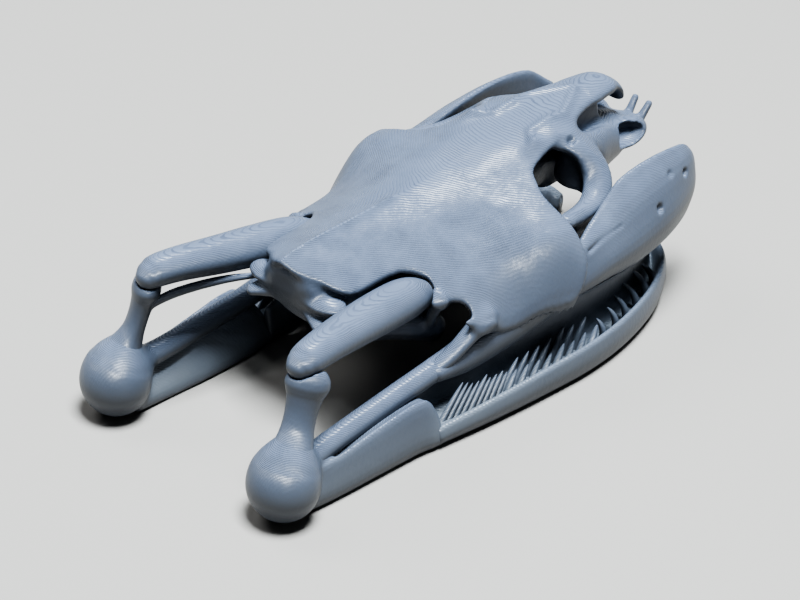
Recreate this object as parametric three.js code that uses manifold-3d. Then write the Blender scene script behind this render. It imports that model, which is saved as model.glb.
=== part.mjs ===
// Skull of a yellow anaconda, lying on its two lower jaws with the mouth a little open.
// Frame: +Z up, snout towards -Y, the animal's left towards +X, floor at z = 0, millimetres.
// The skull is symmetric about x = 0: each paired bone is shaped on the left and mirrored.
import * as THREE from 'three';
import { mergeVertices } from 'three/addons/utils/BufferGeometryUtils.js';
import Module from 'manifold-3d';

const wasm = await Module();
wasm.setup();

// Driving dimensions
const SEAM_GAP = 0.3;
const MIDDLE_SHIFT = 0.95;
const ROOF_THICKNESS = 1.7;
const ROOF_GRID_STEP = 4;
const PLATE_DEPTH = 60;
const TOOTH_SIDES = 4;
const ROD_SIDES = 8;
const BODY_SIDES = 10;
const BULB_SIDES = 12;
const BULB_BANDS = 8;
const TOOTH_CURVE = 0.5;
const STAPES_RADIUS = 0.55;
const PRONG_RADIUS = 0.6;

const BONE = { color: 0x8193a8, roughness: 0.62, metalness: 0.0 };

// Height of the skull roof: one row per station along the skull, one column per distance
// from the midline.
const ROOF_ACROSS = [0, 4, 8, 12, 16, 20, 23];
const ROOF_HEIGHTS = [
  { y: 28, z: [25.2, 23.2, 21.0, 18.4, 16.0, 14.0, 12.8] },
  { y: 21, z: [25.9, 24.1, 21.8, 19.2, 16.6, 14.4, 13.0] },
  { y: 14, z: [26.0, 24.6, 22.3, 19.6, 17.0, 15.0, 13.2] },
  { y: 8, z: [26.1, 25.0, 23.0, 20.4, 17.7, 15.4, 13.0] },
  { y: 0, z: [26.5, 25.7, 24.2, 22.0, 19.2, 15.8, 13.4] },
  { y: -3, z: [26.8, 26.2, 25.0, 23.4, 21.4, 18.8, 15.0] },
  { y: -6, z: [27.2, 26.8, 25.6, 24.4, 23.0, 20.8, 16.6] },
  { y: -11, z: [28.0, 27.6, 26.4, 25.0, 23.6, 21.6, 19.6] },
  { y: -15, z: [28.4, 28.2, 27.2, 25.2, 23.4, 21.4, 19.6] },
  { y: -20, z: [28.9, 28.8, 27.6, 25.4, 23.0, 20.6, 17.0] },
  { y: -26, z: [29.3, 28.8, 26.4, 24.0, 22.0, 20.0, 17.0] },
  { y: -32, z: [29.4, 28.4, 25.4, 22.0, 20.0, 18.0, 16.0] },
  { y: -40, z: [28.4, 27.2, 24.0, 21.0, 20.0, 18.0, 16.0] },
];

// Plan outline of the left half of the roof, from the back of the head round to the snout.
const ROOF_OUTLINE = [
  [0, 27.2], [2.2, 26.4], [4.6, 24.4], [6.8, 23], [8, 20.8], [8.3, 14.7], [9, 12.2], [10.8, 10.2],
  [12.2, 10.4], [13.2, 12], [14.3, 11.4], [14.6, 8.8], [15.6, 7.4], [16.8, 7.4],
  [17.4, 9.4], [18.1, 6.6], [18.4, 3.4], [19, 0], [20.1, -3.2], [20.9, -5.6], [21.7, -8.4],
  [21.6, -10.6], [20, -11.4], [13, -11.6], [10, -12.6], [8.2, -14], [7.2, -18.5], [6.4, -21], [6.6, -23.6],
  [5, -26.6], [4, -30], [3.2, -35], [2.4, -38], [0, -38.6],
];

const CRANIUM_BODY = [
  { y: 25.6, half: 4.2, low: 14.5, high: 23.6 },
  { y: 22, half: 6.6, low: 10.6, high: 24 },
  { y: 14, half: 7.4, low: 9.2, high: 24.4 },
  { y: 4, half: 7.4, low: 10, high: 24.8 },
  { y: -6, half: 6.6, low: 11.8, high: 25.6 },
  { y: -14, half: 5, low: 14, high: 27.4 },
  { y: -22, half: 3.8, low: 16.2, high: 28.5 },
  { y: -30, half: 2.8, low: 17.4, high: 28.8 },
  { y: -36, half: 2, low: 18, high: 28.4 },
];
const SNOUT_FLOOR = [
  { y: -24, half: 3.6, low: 15.8, high: 22 },
  { y: -30, half: 4.1, low: 16.4, high: 23.4 },
  { y: -36, half: 3.8, low: 16.9, high: 23.8 },
  { y: -41, half: 3.2, low: 17.2, high: 22 },
  { y: -44, half: 2.6, low: 17.4, high: 20.6 },
  { y: -46.8, half: 1.6, low: 17.8, high: 19.4 },
];

// Bars and rods: points along the bone with its half width and half height there.
const SUPRATEMPORAL = [
  [14.1, 37.6, 20.7, 1.8, 1.6], [14.05, 36.2, 21.1, 2.4, 2.1], [13.4, 32.5, 21.1, 2.4, 2],
  [12.2, 26.5, 20.6, 2.5, 2.1], [11.2, 20.5, 20, 2.7, 2.2], [10.4, 14.5, 19.2, 2.7, 2.2],
  [9.8, 10.4, 18.2, 2.1, 1.7],
];
const QUADRATE = [
  [15.1, 36.9, 18.8, 2.9, 2.1], [15.1, 37.1, 17.8, 2.7, 1.9], [15.2, 37.7, 16.2, 2.3, 1.7],
  [15.4, 38.6, 13.2, 2.2, 1.7], [15.8, 39.7, 10.6, 2.5, 2.1], [16.1, 41, 8.6, 3.2, 3],
];
const STAPES = [
  [15, 37.2, 15.6], [13, 33.4, 17], [10.6, 28, 17.6], [8, 22.4, 17.4],
];
const ECTOPTERYGOID = [
  [17, 9.4, 9.8, 1.2, 1.6], [18, 4, 10.2, 1.1, 2.2], [19.4, -2, 11.2, 1, 2],
  [20.2, -7, 12.6, 0.9, 1.9], [19.9, -12, 14, 0.8, 1.8],
];
const PTERYGOID = [
  [16, 38.4, 6.5, 1.8, 1.8], [15.5, 34.5, 6.8, 1.7, 1.6], [15.3, 28, 7.4, 1.65, 1.6],
  [15.2, 20, 8.2, 1.65, 1.6], [15.3, 13, 9, 1.7, 1.6], [14.8, 5, 9.5, 2.2, 1.2],
  [12, -3, 9.4, 2.8, 0.9], [9.6, -12, 10.2, 2.6, 0.9], [7.8, -22, 12, 2.2, 0.9],
  [6.4, -32, 14.2, 1.6, 0.8],
];
const PREFRONTAL_ARCH = [
  [4, -21.6, 27.2, 2.4, 1.4], [7, -23.4, 26.4, 2.5, 1.3], [9.2, -24.4, 24.8, 2.4, 1.2],
  [11.2, -24.2, 22.9, 2.2, 1.1], [12.8, -22.6, 21.4, 2, 1.1], [14.2, -18.8, 20.8, 1.6, 1.1],
  [15.4, -13, 21.6, 1.3, 1],
];
const NASAL_HOOD = [
  [0, -34, 27.9, 2.8, 1], [0, -38, 28.1, 2.5, 1], [0, -41, 26.9, 2.1, 0.9],
  [0, -42.5, 25, 1.7, 0.8], [0, -42.8, 22.6, 1.2, 0.8], [0, -42.4, 20, 1, 0.8],
];
const PREMAXILLA_PRONG = [[1, -45.2, 18.2], [1.1, -46.6, 18.6], [1.3, -48.6, 20.8]];
const NASAL_CUP = [
  [2.6, -35, 21.4, 1.4, 1.2], [3.8, -37.4, 19, 1.3, 1.1], [4.2, -40.8, 18.4, 1.1, 1],
  [3.6, -43.6, 19, 0.9, 0.9], [3, -43.2, 20.8, 0.9, 0.9], [2.6, -40.4, 22, 1.2, 1],
];
const WING_PROCESS = [
  [17.2, 5.6, 16, 1.3, 1], [17.1, 8.6, 14.2, 1.1, 0.9], [16.6, 10.2, 11.6, 0.9, 0.8],
];
const WING_LIP = [
  [17.4, 7, 14.8, 0.6, 1.7], [17.9, 3.6, 14.8, 0.6, 2.1], [18.5, 0.4, 14.9, 0.6, 2.2],
  [19.6, -3, 16, 0.6, 2.6], [20.4, -5.6, 17, 0.6, 3], [21.1, -8.4, 17.8, 0.6, 3],
  [21, -10.4, 19.4, 0.6, 1.8],
];
const BRAINCASE_FLANGE = [
  [8.6, 22.8, 13.4, 1.3, 1.2], [8.4, 19, 13, 2.4, 1.9], [8.2, 13.6, 12.4, 3.2, 2.1],
  [8.4, 9, 12.2, 2.9, 2.1],
];
const ROOF_STRUT = [[13.6, 10.4, 18.2, 0.9, 0.8], [12.2, 10.2, 15.2, 0.8, 0.7], [10.6, 10, 12.8, 1, 0.9]];
const CONDYLE = [[0, 23, 13, 2.6, 2], [0, 27.4, 13.6, 2.2, 1.7]];

// Jaw bones follow a plan line along their outer side. Each ring is written as distance
// inwards from that line and height.
const COMPOUND = [
  { at: [18.6, 41], ring: [[0.6, 0.2], [0, 2.6], [1, 5.6], [2.2, 5], [4.6, 4.6], [5.8, 2.2], [5.6, 0.2]] },
  { at: [19.2, 35], ring: [[0.8, 0], [0.1, 1.8], [1.2, 6.6], [2.4, 5.2], [4.4, 4.2], [6.2, 2], [6.4, 0]] },
  { at: [19.6, 27], ring: [[0.8, 0], [0, 1.8], [1.3, 7.6], [2.6, 5.4], [4.8, 4.6], [7, 2], [7.2, 0]] },
  { at: [20, 20], ring: [[0.8, 0], [0, 2], [1.4, 8.5], [2.8, 5.8], [5.2, 5.2], [7.4, 2.2], [7.6, 0]] },
  { at: [20.6, 15.6], ring: [[0.8, 0], [0, 1.8], [1.6, 8.4], [3, 6], [5.4, 5.4], [7.8, 2.2], [8, 0]] },
];
const BULB = { centre: [16.1, 42.2, 5.2], radii: [5.1, 5, 5.1] };
const DENTARY = [
  { at: [20.8, 15.2], rim: 3.4, width: 8, wall: 5.6 },
  { at: [21.8, 7], rim: 4.2, width: 8, wall: 6.6 },
  { at: [22.7, -3], rim: 4.9, width: 7.6, wall: 7.4 },
  { at: [23.1, -13], rim: 5.3, width: 7.2, wall: 7.6 },
  { at: [22.1, -22], rim: 5.5, width: 6.6, wall: 7.2 },
  { at: [19.6, -30.6], rim: 5.5, width: 5.8, wall: 6.4 },
  { at: [15.6, -37.6], rim: 5.2, width: 4.8, wall: 5.6 },
  { at: [11.2, -41.8], rim: 4.4, width: 3.8, wall: 4.6 },
  { at: [8.6, -43], rim: 3.2, width: 2.8, wall: 3.4 },
];
const MAXILLA = [
  { at: [20.8, -12.6], ring: [[0.2, 14.6], [0, 16.2], [1.6, 18.2], [3, 18.6], [3.4, 17.2], [2.2, 14.6]] },
  { at: [20.6, -18], ring: [[0.2, 12.4], [-0.3, 15.6], [1.8, 19.8], [4.6, 21.2], [4.6, 18], [2.6, 12.4]] },
  { at: [20.4, -25], ring: [[0.4, 11.8], [-0.2, 16], [2.2, 21.4], [6, 24], [5.4, 19.6], [2.8, 12]] },
  { at: [19.2, -33], ring: [[0.4, 12], [-0.4, 16.6], [1.6, 22], [5, 24.8], [5, 20], [2.8, 12.2]] },
  { at: [16.6, -40.4], ring: [[0.6, 12], [-0.4, 16.6], [0.6, 21.8], [2.8, 23.8], [3.6, 19], [2.6, 12.2]] },
  { at: [13.2, -44.2], ring: [[0.8, 13], [0, 15.6], [0.2, 19], [1.2, 20.8], [2.2, 17.6], [2, 13.2]] },
];

const TEETH = {
  maxilla: { count: 15, length: 3.6, radius: 0.62 },
  palatal: { count: 8, length: 2.4, radius: 0.5 },
  outer: { count: 17, length: 4.2, radius: 0.68 },
  inner: { count: 12, length: 3.2, radius: 0.6 },
};

// Solids from plain geometry
function toSolid(geometry) {
  geometry.deleteAttribute('normal');
  geometry.deleteAttribute('uv');
  const merged = mergeVertices(geometry, 1e-4);
  const mesh = new wasm.Mesh({
    numProp: 3,
    vertProperties: new Float32Array(merged.attributes.position.array),
    triVerts: new Uint32Array(merged.index.array),
  });
  mesh.merge();
  return new wasm.Manifold(mesh);
}

function toGeometry(solid) {
  const mesh = solid.getMesh();
  const geometry = new THREE.BufferGeometry();
  geometry.setAttribute('position', new THREE.BufferAttribute(new Float32Array(mesh.vertProperties), 3));
  geometry.setIndex(new THREE.BufferAttribute(new Uint32Array(mesh.triVerts), 1));
  return geometry;
}

function signedVolume(points, faces) {
  return faces.reduce((sum, [a, b, c]) => {
    const cross = new THREE.Vector3().crossVectors(points[b], points[c]);
    return sum + points[a].dot(cross) / 6;
  }, 0);
}

function solidFromFaces(points, faces) {
  const turned = signedVolume(points, faces) < 0 ? faces.map(([a, b, c]) => [a, c, b]) : faces;
  const geometry = new THREE.BufferGeometry().setFromPoints(points);
  geometry.setIndex(turned.flat());
  return toSolid(geometry);
}

// A closed skin through rings of equal length, with a fan over each end
function loft(rings) {
  const sides = rings[0].length;
  const points = rings.flat();
  const faces = [];
  for (let ring = 0; ring < rings.length - 1; ring += 1) {
    for (let side = 0; side < sides; side += 1) {
      const next = (side + 1) % sides;
      const here = ring * sides;
      const ahead = here + sides;
      faces.push([here + side, here + next, ahead + side]);
      faces.push([here + next, ahead + next, ahead + side]);
    }
  }
  for (const [start, forwards] of [[0, false], [(rings.length - 1) * sides, true]]) {
    const centre = new THREE.Vector3();
    points.slice(start, start + sides).forEach((point) => centre.addScaledVector(point, 1 / sides));
    const middle = points.push(centre) - 1;
    for (let side = 0; side < sides; side += 1) {
      const next = start + ((side + 1) % sides);
      faces.push(forwards ? [start + side, next, middle] : [next, start + side, middle]);
    }
  }
  return solidFromFaces(points, faces);
}

// A bar with an oval section that follows its points in a smooth curve
function bar(stations, { grow = 0, sides = ROD_SIDES, steps = stations.length + 3 } = {}) {
  const curve = new THREE.CatmullRomCurve3(stations.map(([x, y, z]) => new THREE.Vector3(x, y, z)));
  const sizes = new THREE.CatmullRomCurve3(
    stations.map(([, , , width, height]) => new THREE.Vector3(width, height, 0)),
  );
  const rings = [];
  for (let step = 0; step <= steps; step += 1) {
    const t = step / steps;
    const centre = curve.getPoint(t);
    const along = curve.getTangent(t);
    const size = sizes.getPoint(t);
    const vertical = Math.abs(along.z) > 0.8;
    const reference = vertical ? new THREE.Vector3(0, 1, 0) : new THREE.Vector3(0, 0, 1);
    const across = new THREE.Vector3().crossVectors(along, reference).normalize();
    const upwards = new THREE.Vector3().crossVectors(across, along).normalize();
    rings.push(Array.from({ length: sides }, (_, side) => {
      const angle = (2 * Math.PI * side) / sides;
      return centre.clone()
        .addScaledVector(across, Math.cos(angle) * (size.x + grow))
        .addScaledVector(upwards, Math.sin(angle) * (size.y + grow));
    }));
  }
  return loft(rings);
}

function rod(points, radius, grow = 0) {
  return bar(points.map(([x, y, z]) => [x, y, z, radius, radius]), { grow, sides: 6 });
}

function body(stations) {
  return loft(stations.map(({ y, half, low, high }) => {
    const middle = (low + high) / 2;
    const reach = (high - low) / 2;
    return Array.from({ length: BODY_SIDES }, (_, side) => {
      const angle = (2 * Math.PI * side) / BODY_SIDES;
      return new THREE.Vector3(Math.cos(angle) * half, y, middle + Math.sin(angle) * reach);
    });
  }));
}

function ball({ centre, radii }) {
  const geometry = new THREE.SphereGeometry(1, BULB_SIDES, BULB_BANDS);
  geometry.rotateX(Math.PI / 2);
  geometry.scale(...radii);
  geometry.translate(...centre);
  return toSolid(geometry);
}

// The inward direction of a jaw's plan line at one of its stations
function inwardAt(stations, index) {
  const before = stations[Math.max(index - 1, 0)].at;
  const after = stations[Math.min(index + 1, stations.length - 1)].at;
  const along = new THREE.Vector2(after[0] - before[0], after[1] - before[1]).normalize();
  return new THREE.Vector2(along.y, -along.x);
}

function jawRing(stations, index, ring) {
  const [x, y] = stations[index].at;
  const inward = inwardAt(stations, index);
  return ring.map(([inset, z]) => new THREE.Vector3(x + inward.x * inset, y + inward.y * inset, z));
}

function jaw(stations) {
  return loft(stations.map(({ ring }, index) => jawRing(stations, index, ring)));
}

function dentaryRing({ rim, width, wall }) {
  return [
    [1.2, 0], [0.2, 1.2], [0, rim * 0.6], [0.4, rim], [1.3, rim], [2, 2.4],
    [width - 2, 2.6], [width - 1.7, wall], [width - 0.7, wall], [width, 2], [width - 0.4, 0],
  ];
}

// A tooth curves from its root towards the back of the mouth
function tooth(root, lean, { length, radius }) {
  const along = (share) => root.clone().addScaledVector(lean.up, share * length)
    .addScaledVector(lean.back, share * share * length * TOOTH_CURVE);
  const points = [[0, 1], [0.55, 0.75]].flatMap(([share, size]) => {
    return Array.from({ length: TOOTH_SIDES }, (_, side) => {
      const angle = (2 * Math.PI * side) / TOOTH_SIDES;
      const offset = new THREE.Vector3(Math.cos(angle), Math.sin(angle), 0);
      return along(share).addScaledVector(offset, size * radius);
    });
  });
  const tip = points.push(along(1)) - 1;
  const faces = [];
  for (let side = 0; side < TOOTH_SIDES; side += 1) {
    const next = (side + 1) % TOOTH_SIDES;
    const [low, lowNext] = [side, next];
    const [high, highNext] = [side + TOOTH_SIDES, next + TOOTH_SIDES];
    faces.push([low, lowNext, highNext], [low, highNext, high], [high, highNext, tip]);
    if (side > 1) faces.push([0, side, side - 1]);
  }
  return solidFromFaces(points, faces);
}

function jawPoint(stations, share, inset, z) {
  const place = share * (stations.length - 1);
  const index = Math.min(Math.floor(place), stations.length - 2);
  const [from, to] = [index, index + 1].map((at) => jawRing(stations, at, [[inset, z]])[0]);
  return from.lerp(to, place - index);
}

function toothRow(count, first, last, place, lean, size) {
  return Array.from({ length: count }, (_, index) => {
    const share = first + ((last - first) * index) / (count - 1);
    return tooth(place(share), lean, size);
  });
}

function joined(solids) {
  return solids.reduce((whole, solid) => whole.add(solid));
}

// Bones
function roofHeight(x, y) {
  const rows = ROOF_HEIGHTS;
  const row = Math.max(0, rows.findIndex((entry, index) => index > 0 && y >= entry.y) - 1);
  const last = y <= rows[rows.length - 1].y ? rows.length - 2 : row;
  const [behind, ahead] = [rows[last], rows[last + 1]];
  const alongShare = THREE.MathUtils.clamp((y - behind.y) / (ahead.y - behind.y), 0, 1);
  const reach = Math.min(Math.abs(x), ROOF_ACROSS[ROOF_ACROSS.length - 1]);
  const column = Math.max(0, ROOF_ACROSS.findIndex((edge, index) => index > 0 && reach <= edge) - 1);
  const acrossShare = (reach - ROOF_ACROSS[column]) / (ROOF_ACROSS[column + 1] - ROOF_ACROSS[column]);
  const heightIn = ({ z }) => THREE.MathUtils.lerp(z[column], z[column + 1], acrossShare);
  return THREE.MathUtils.lerp(heightIn(behind), heightIn(ahead), alongShare);
}

function roofSlab() {
  const [xMin, xMax, yMin, yMax] = [-24, 24, -42, 30];
  const columns = (xMax - xMin) / ROOF_GRID_STEP;
  const rows = (yMax - yMin) / ROOF_GRID_STEP;
  const points = [];
  const faces = [];
  const stride = columns + 1;
  const layer = stride * (rows + 1);
  for (const drop of [0, ROOF_THICKNESS]) {
    for (let row = 0; row <= rows; row += 1) {
      for (let column = 0; column <= columns; column += 1) {
        const x = xMin + column * ROOF_GRID_STEP;
        const y = yMin + row * ROOF_GRID_STEP;
        points.push(new THREE.Vector3(x, y, roofHeight(x, y) - drop));
      }
    }
  }
  for (let row = 0; row < rows; row += 1) {
    for (let column = 0; column < columns; column += 1) {
      const a = row * stride + column;
      const [b, c, d] = [a + 1, a + stride + 1, a + stride];
      faces.push([a, b, c], [a, c, d]);
      faces.push([a + layer, c + layer, b + layer], [a + layer, d + layer, c + layer]);
    }
  }
  const border = [];
  for (let column = 0; column < columns; column += 1) border.push(column);
  for (let row = 0; row < rows; row += 1) border.push(row * stride + columns);
  for (let column = columns; column > 0; column -= 1) border.push(rows * stride + column);
  for (let row = rows; row > 0; row -= 1) border.push(row * stride);
  border.forEach((from, index) => {
    const to = border[(index + 1) % border.length];
    faces.push([from, from + layer, to], [to, from + layer, to + layer]);
  });
  return solidFromFaces(points, faces);
}

function roof() {
  const left = ROOF_OUTLINE.map(([x, y]) => new THREE.Vector2(x, y));
  const right = ROOF_OUTLINE.slice(1, -1).reverse().map(([x, y]) => new THREE.Vector2(-x, y));
  const outline = new THREE.ExtrudeGeometry(new THREE.Shape([...left, ...right]), {
    depth: PLATE_DEPTH,
    bevelEnabled: false,
  });
  return roofSlab().intersect(toSolid(outline));
}

function mirrored(solid) {
  return solid.mirror([1, 0, 0]);
}

function bothSides(solid) {
  return solid.add(mirrored(solid));
}

function cranium() {
  const paired = joined([
    bar(PREFRONTAL_ARCH, { sides: 6, steps: 9 }),
    bar(NASAL_CUP, { sides: 5, steps: 7 }),
    bar(WING_PROCESS, { sides: 5, steps: 3 }),
    bar(WING_LIP, { sides: 4, steps: 6 }),
    rod(PREMAXILLA_PRONG, PRONG_RADIUS),
    bar(BRAINCASE_FLANGE, { sides: 6, steps: 4 }),
    bar(ROOF_STRUT, { sides: 5, steps: 3 }),
  ]);
  const middle = joined([
    roof(),
    body(CRANIUM_BODY),
    body(SNOUT_FLOOR),
    bar(NASAL_HOOD, { sides: 6, steps: 7 }),
    bar(CONDYLE, { steps: 3 }),
  ]);
  return middle.add(bothSides(paired));
}

function supratemporal(grow = 0) {
  return bar(SUPRATEMPORAL, { grow, sides: 8, steps: 8 });
}

function quadrate(grow = 0) {
  return bar(QUADRATE, { grow, sides: 8, steps: 8 });
}

function ectopterygoid(grow = 0) {
  return bar(ECTOPTERYGOID, { grow });
}

function pterygoidBar(grow = 0) {
  return bar(PTERYGOID, { grow, sides: 7 });
}

function pterygoid() {
  const line = new THREE.CatmullRomCurve3(PTERYGOID.map(([x, y, z]) => new THREE.Vector3(x, y, z)));
  const lean = { up: new THREE.Vector3(0, 0, -1), back: new THREE.Vector3(0, 1, 0) };
  const place = (share) => line.getPoint(share).add(new THREE.Vector3(0, 0, -0.3));
  const { count, ...size } = TEETH.palatal;
  return pterygoidBar().add(joined(toothRow(count, 0.45, 0.97, place, lean, size)));
}

function maxilla() {
  const lean = { up: new THREE.Vector3(-0.1, 0, -1), back: new THREE.Vector3(0, 1, 0) };
  const place = (share) => jawPoint(MAXILLA, share, 1.4, 13.6 + 6 * Math.max(0, 0.25 - share));
  const { count, ...size } = TEETH.maxilla;
  return jaw(MAXILLA).add(joined(toothRow(count, 0.04, 0.96, place, lean, size)));
}

function compound() {
  return jaw(COMPOUND).add(ball(BULB));
}

function dentary() {
  const stations = DENTARY.map((entry) => ({ at: entry.at, ring: dentaryRing(entry) }));
  const lean = { up: new THREE.Vector3(0.1, 0.15, 1), back: new THREE.Vector3(0, 1, 0) };
  const { count: outerCount, ...outerSize } = TEETH.outer;
  const { count: innerCount, ...innerSize } = TEETH.inner;
  const outerRow = toothRow(outerCount, 0.1, 0.96, (share) => jawPoint(stations, share, 2.7, 2.2), lean, outerSize);
  const innerRow = toothRow(innerCount, 0.12, 0.6, (share) => jawPoint(stations, share, 4.4, 2.2), lean, innerSize);
  return jaw(stations).add(joined([...outerRow, ...innerRow]));
}

function named(name, solid) {
  const mesh = new THREE.Mesh(toGeometry(solid), new THREE.MeshStandardMaterial(BONE));
  mesh.name = name;
  return mesh;
}

// Each bone is cut back from the neighbours that it meets
const grown = {
  supratemporal: supratemporal(SEAM_GAP),
  quadrate: quadrate(SEAM_GAP),
  pterygoid: pterygoidBar(SEAM_GAP),
  ectopterygoid: ectopterygoid(SEAM_GAP),
  stapes: rod(STAPES, STAPES_RADIUS, SEAM_GAP),
  arch: bar(PREFRONTAL_ARCH, { grow: SEAM_GAP }),
};
const headBone = ['supratemporal', 'pterygoid', 'ectopterygoid']
  .reduce((bone, neighbour) => bone.subtract(bothSides(grown[neighbour])), cranium());
const paired = {
  supratemporal: supratemporal(),
  quadrate: quadrate().subtract(grown.supratemporal).subtract(grown.stapes),
  stapes: rod(STAPES, STAPES_RADIUS),
  pterygoid: pterygoid().subtract(grown.quadrate),
  ectopterygoid: ectopterygoid().subtract(grown.pterygoid),
  maxilla: maxilla().subtract(grown.ectopterygoid).subtract(grown.arch),
  compound: compound().subtract(grown.quadrate).subtract(grown.pterygoid),
  dentary: dentary(),
};

const skull = new THREE.Group();
skull.position.y = MIDDLE_SHIFT;
skull.add(named('cranium', headBone));
for (const [name, solid] of Object.entries(paired)) {
  skull.add(named(`${name}_left`, solid), named(`${name}_right`, mirrored(solid)));
}

export default skull;
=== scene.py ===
"""Snake skull in matte blue-grey print plastic, lying on its two lower jaws.

Each bone is modelled as a distance field: bars, blades, balls and a roof sheet are blended with rounded
joints, holes and pits are carved out, and the surface is then drawn as one closed mesh. Teeth grow from
points along the jaws through Geometry Nodes. All sizes are millimetres until a mesh is written.
"""

from __future__ import annotations

import logging
import math
from collections.abc import Callable, Sequence
from dataclasses import dataclass
from enum import Enum

import bpy
import numpy as np
from mathutils import Matrix, Vector

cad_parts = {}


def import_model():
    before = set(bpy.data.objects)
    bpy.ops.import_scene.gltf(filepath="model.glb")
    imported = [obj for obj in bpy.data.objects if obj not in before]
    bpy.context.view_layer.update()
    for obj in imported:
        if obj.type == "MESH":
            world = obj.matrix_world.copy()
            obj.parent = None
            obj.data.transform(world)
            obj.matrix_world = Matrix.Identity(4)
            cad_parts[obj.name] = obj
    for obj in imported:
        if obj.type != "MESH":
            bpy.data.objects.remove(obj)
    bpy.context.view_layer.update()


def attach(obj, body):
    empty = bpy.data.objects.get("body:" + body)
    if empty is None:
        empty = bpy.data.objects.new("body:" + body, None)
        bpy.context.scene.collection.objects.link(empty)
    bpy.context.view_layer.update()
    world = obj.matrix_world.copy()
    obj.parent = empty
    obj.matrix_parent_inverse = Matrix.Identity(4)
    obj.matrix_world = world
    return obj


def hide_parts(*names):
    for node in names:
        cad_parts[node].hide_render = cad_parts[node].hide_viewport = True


LOG = logging.getLogger("skull")
MM = 0.001
# Added to every y, so that the frame's origin is in the middle of the skull.
MIDDLE_SHIFT = 0.95
# Farther than any part of a bone.
FAR = 50.0
TINY = 1e-9
GRID_STEP = 0.32
FINE_STEP = 0.24
CURVE_STEP = 0.8
PHOTO_WIDTH_PX = 800
SENSOR_MM = 36.0

Point = tuple[float, ...]
Colour = tuple[float, float, float]
Station = tuple[Point, tuple[Point, ...]]
Distance = Callable[[np.ndarray, np.ndarray, np.ndarray], np.ndarray]


class Side(Enum):
    """Which side of the animal a paired bone is on."""

    LEFT = ("left", 1.0)
    RIGHT = ("right", -1.0)

    @property
    def label(self) -> str:
        """The word in the node's name."""
        return self.value[0]

    @property
    def sign(self) -> float:
        """The factor that turns a left bone's x into this side's."""
        return self.value[1]


def catmull_rom(rows: Sequence[np.ndarray], t: np.ndarray) -> np.ndarray:
    """Runs a curve through the middle two of four rows.

    Args:
        rows: The rows before, at the start, at the end and after.
        t: Share of the way from the start to the end.

    Returns:
        The rows at t.
    """
    before, start, end, after = rows
    return 0.5 * (
        2 * start
        + (end - before) * t
        + (2 * before - 5 * start + 4 * end - after) * t**2
        + (3 * start - before - 3 * end + after) * t**3
    )


def hermite(
    values: tuple[np.ndarray, np.ndarray],
    slopes: tuple[np.ndarray, np.ndarray],
    width: np.ndarray,
    t: np.ndarray,
) -> np.ndarray:
    """Runs a smooth line between two values with given slopes.

    Args:
        values: Values at the start and the end.
        slopes: Slopes there.
        width: Distance from the start to the end.
        t: Share of the way.

    Returns:
        The values at t.
    """
    return (
        values[0] * (2 * t**3 - 3 * t**2 + 1)
        + slopes[0] * width * (t**3 - 2 * t**2 + t)
        + values[1] * (3 * t**2 - 2 * t**3)
        + slopes[1] * width * (t**3 - t**2)
    )


def smooth_curve(points: Sequence[Point], step: float = CURVE_STEP) -> np.ndarray:
    """Runs a Catmull-Rom curve through rows of numbers.

    Args:
        points: Rows that start with x, y, z and may go on with sizes.
        step: Distance between samples, in mm.

    Returns:
        The sampled rows.
    """
    rows = np.array(points, dtype=float)
    padded = np.vstack([2 * rows[0] - rows[1], rows, 2 * rows[-1] - rows[-2]])
    samples = []
    for index, (start, end) in enumerate(zip(rows[:-1], rows[1:])):
        length = np.linalg.norm(end[:3] - start[:3])
        count = max(2, int(math.ceil(length / step)))
        t = np.linspace(0, 1, count, endpoint=False)[:, None]
        samples.append(catmull_rom(padded[index : index + 4], t))
    samples.append(rows[-1:])
    return np.vstack(samples)


def blend_min(a: np.ndarray, b: np.ndarray, radius: float) -> np.ndarray:
    """Joins two distances with a fillet.

    Args:
        a: First distances.
        b: Second distances.
        radius: About the fillet's radius.

    Returns:
        The joined distances.
    """
    if radius <= 0:
        return np.minimum(a, b)
    h = np.clip(0.5 + 0.5 * (b - a) / radius, 0, 1)
    return b + (a - b) * h - radius * h * (1 - h)


def blend_max(a: np.ndarray, b: np.ndarray, radius: float) -> np.ndarray:
    """Crosses two distances with a rounded edge of about the given radius."""
    return -blend_min(-a, -b, radius)


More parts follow.
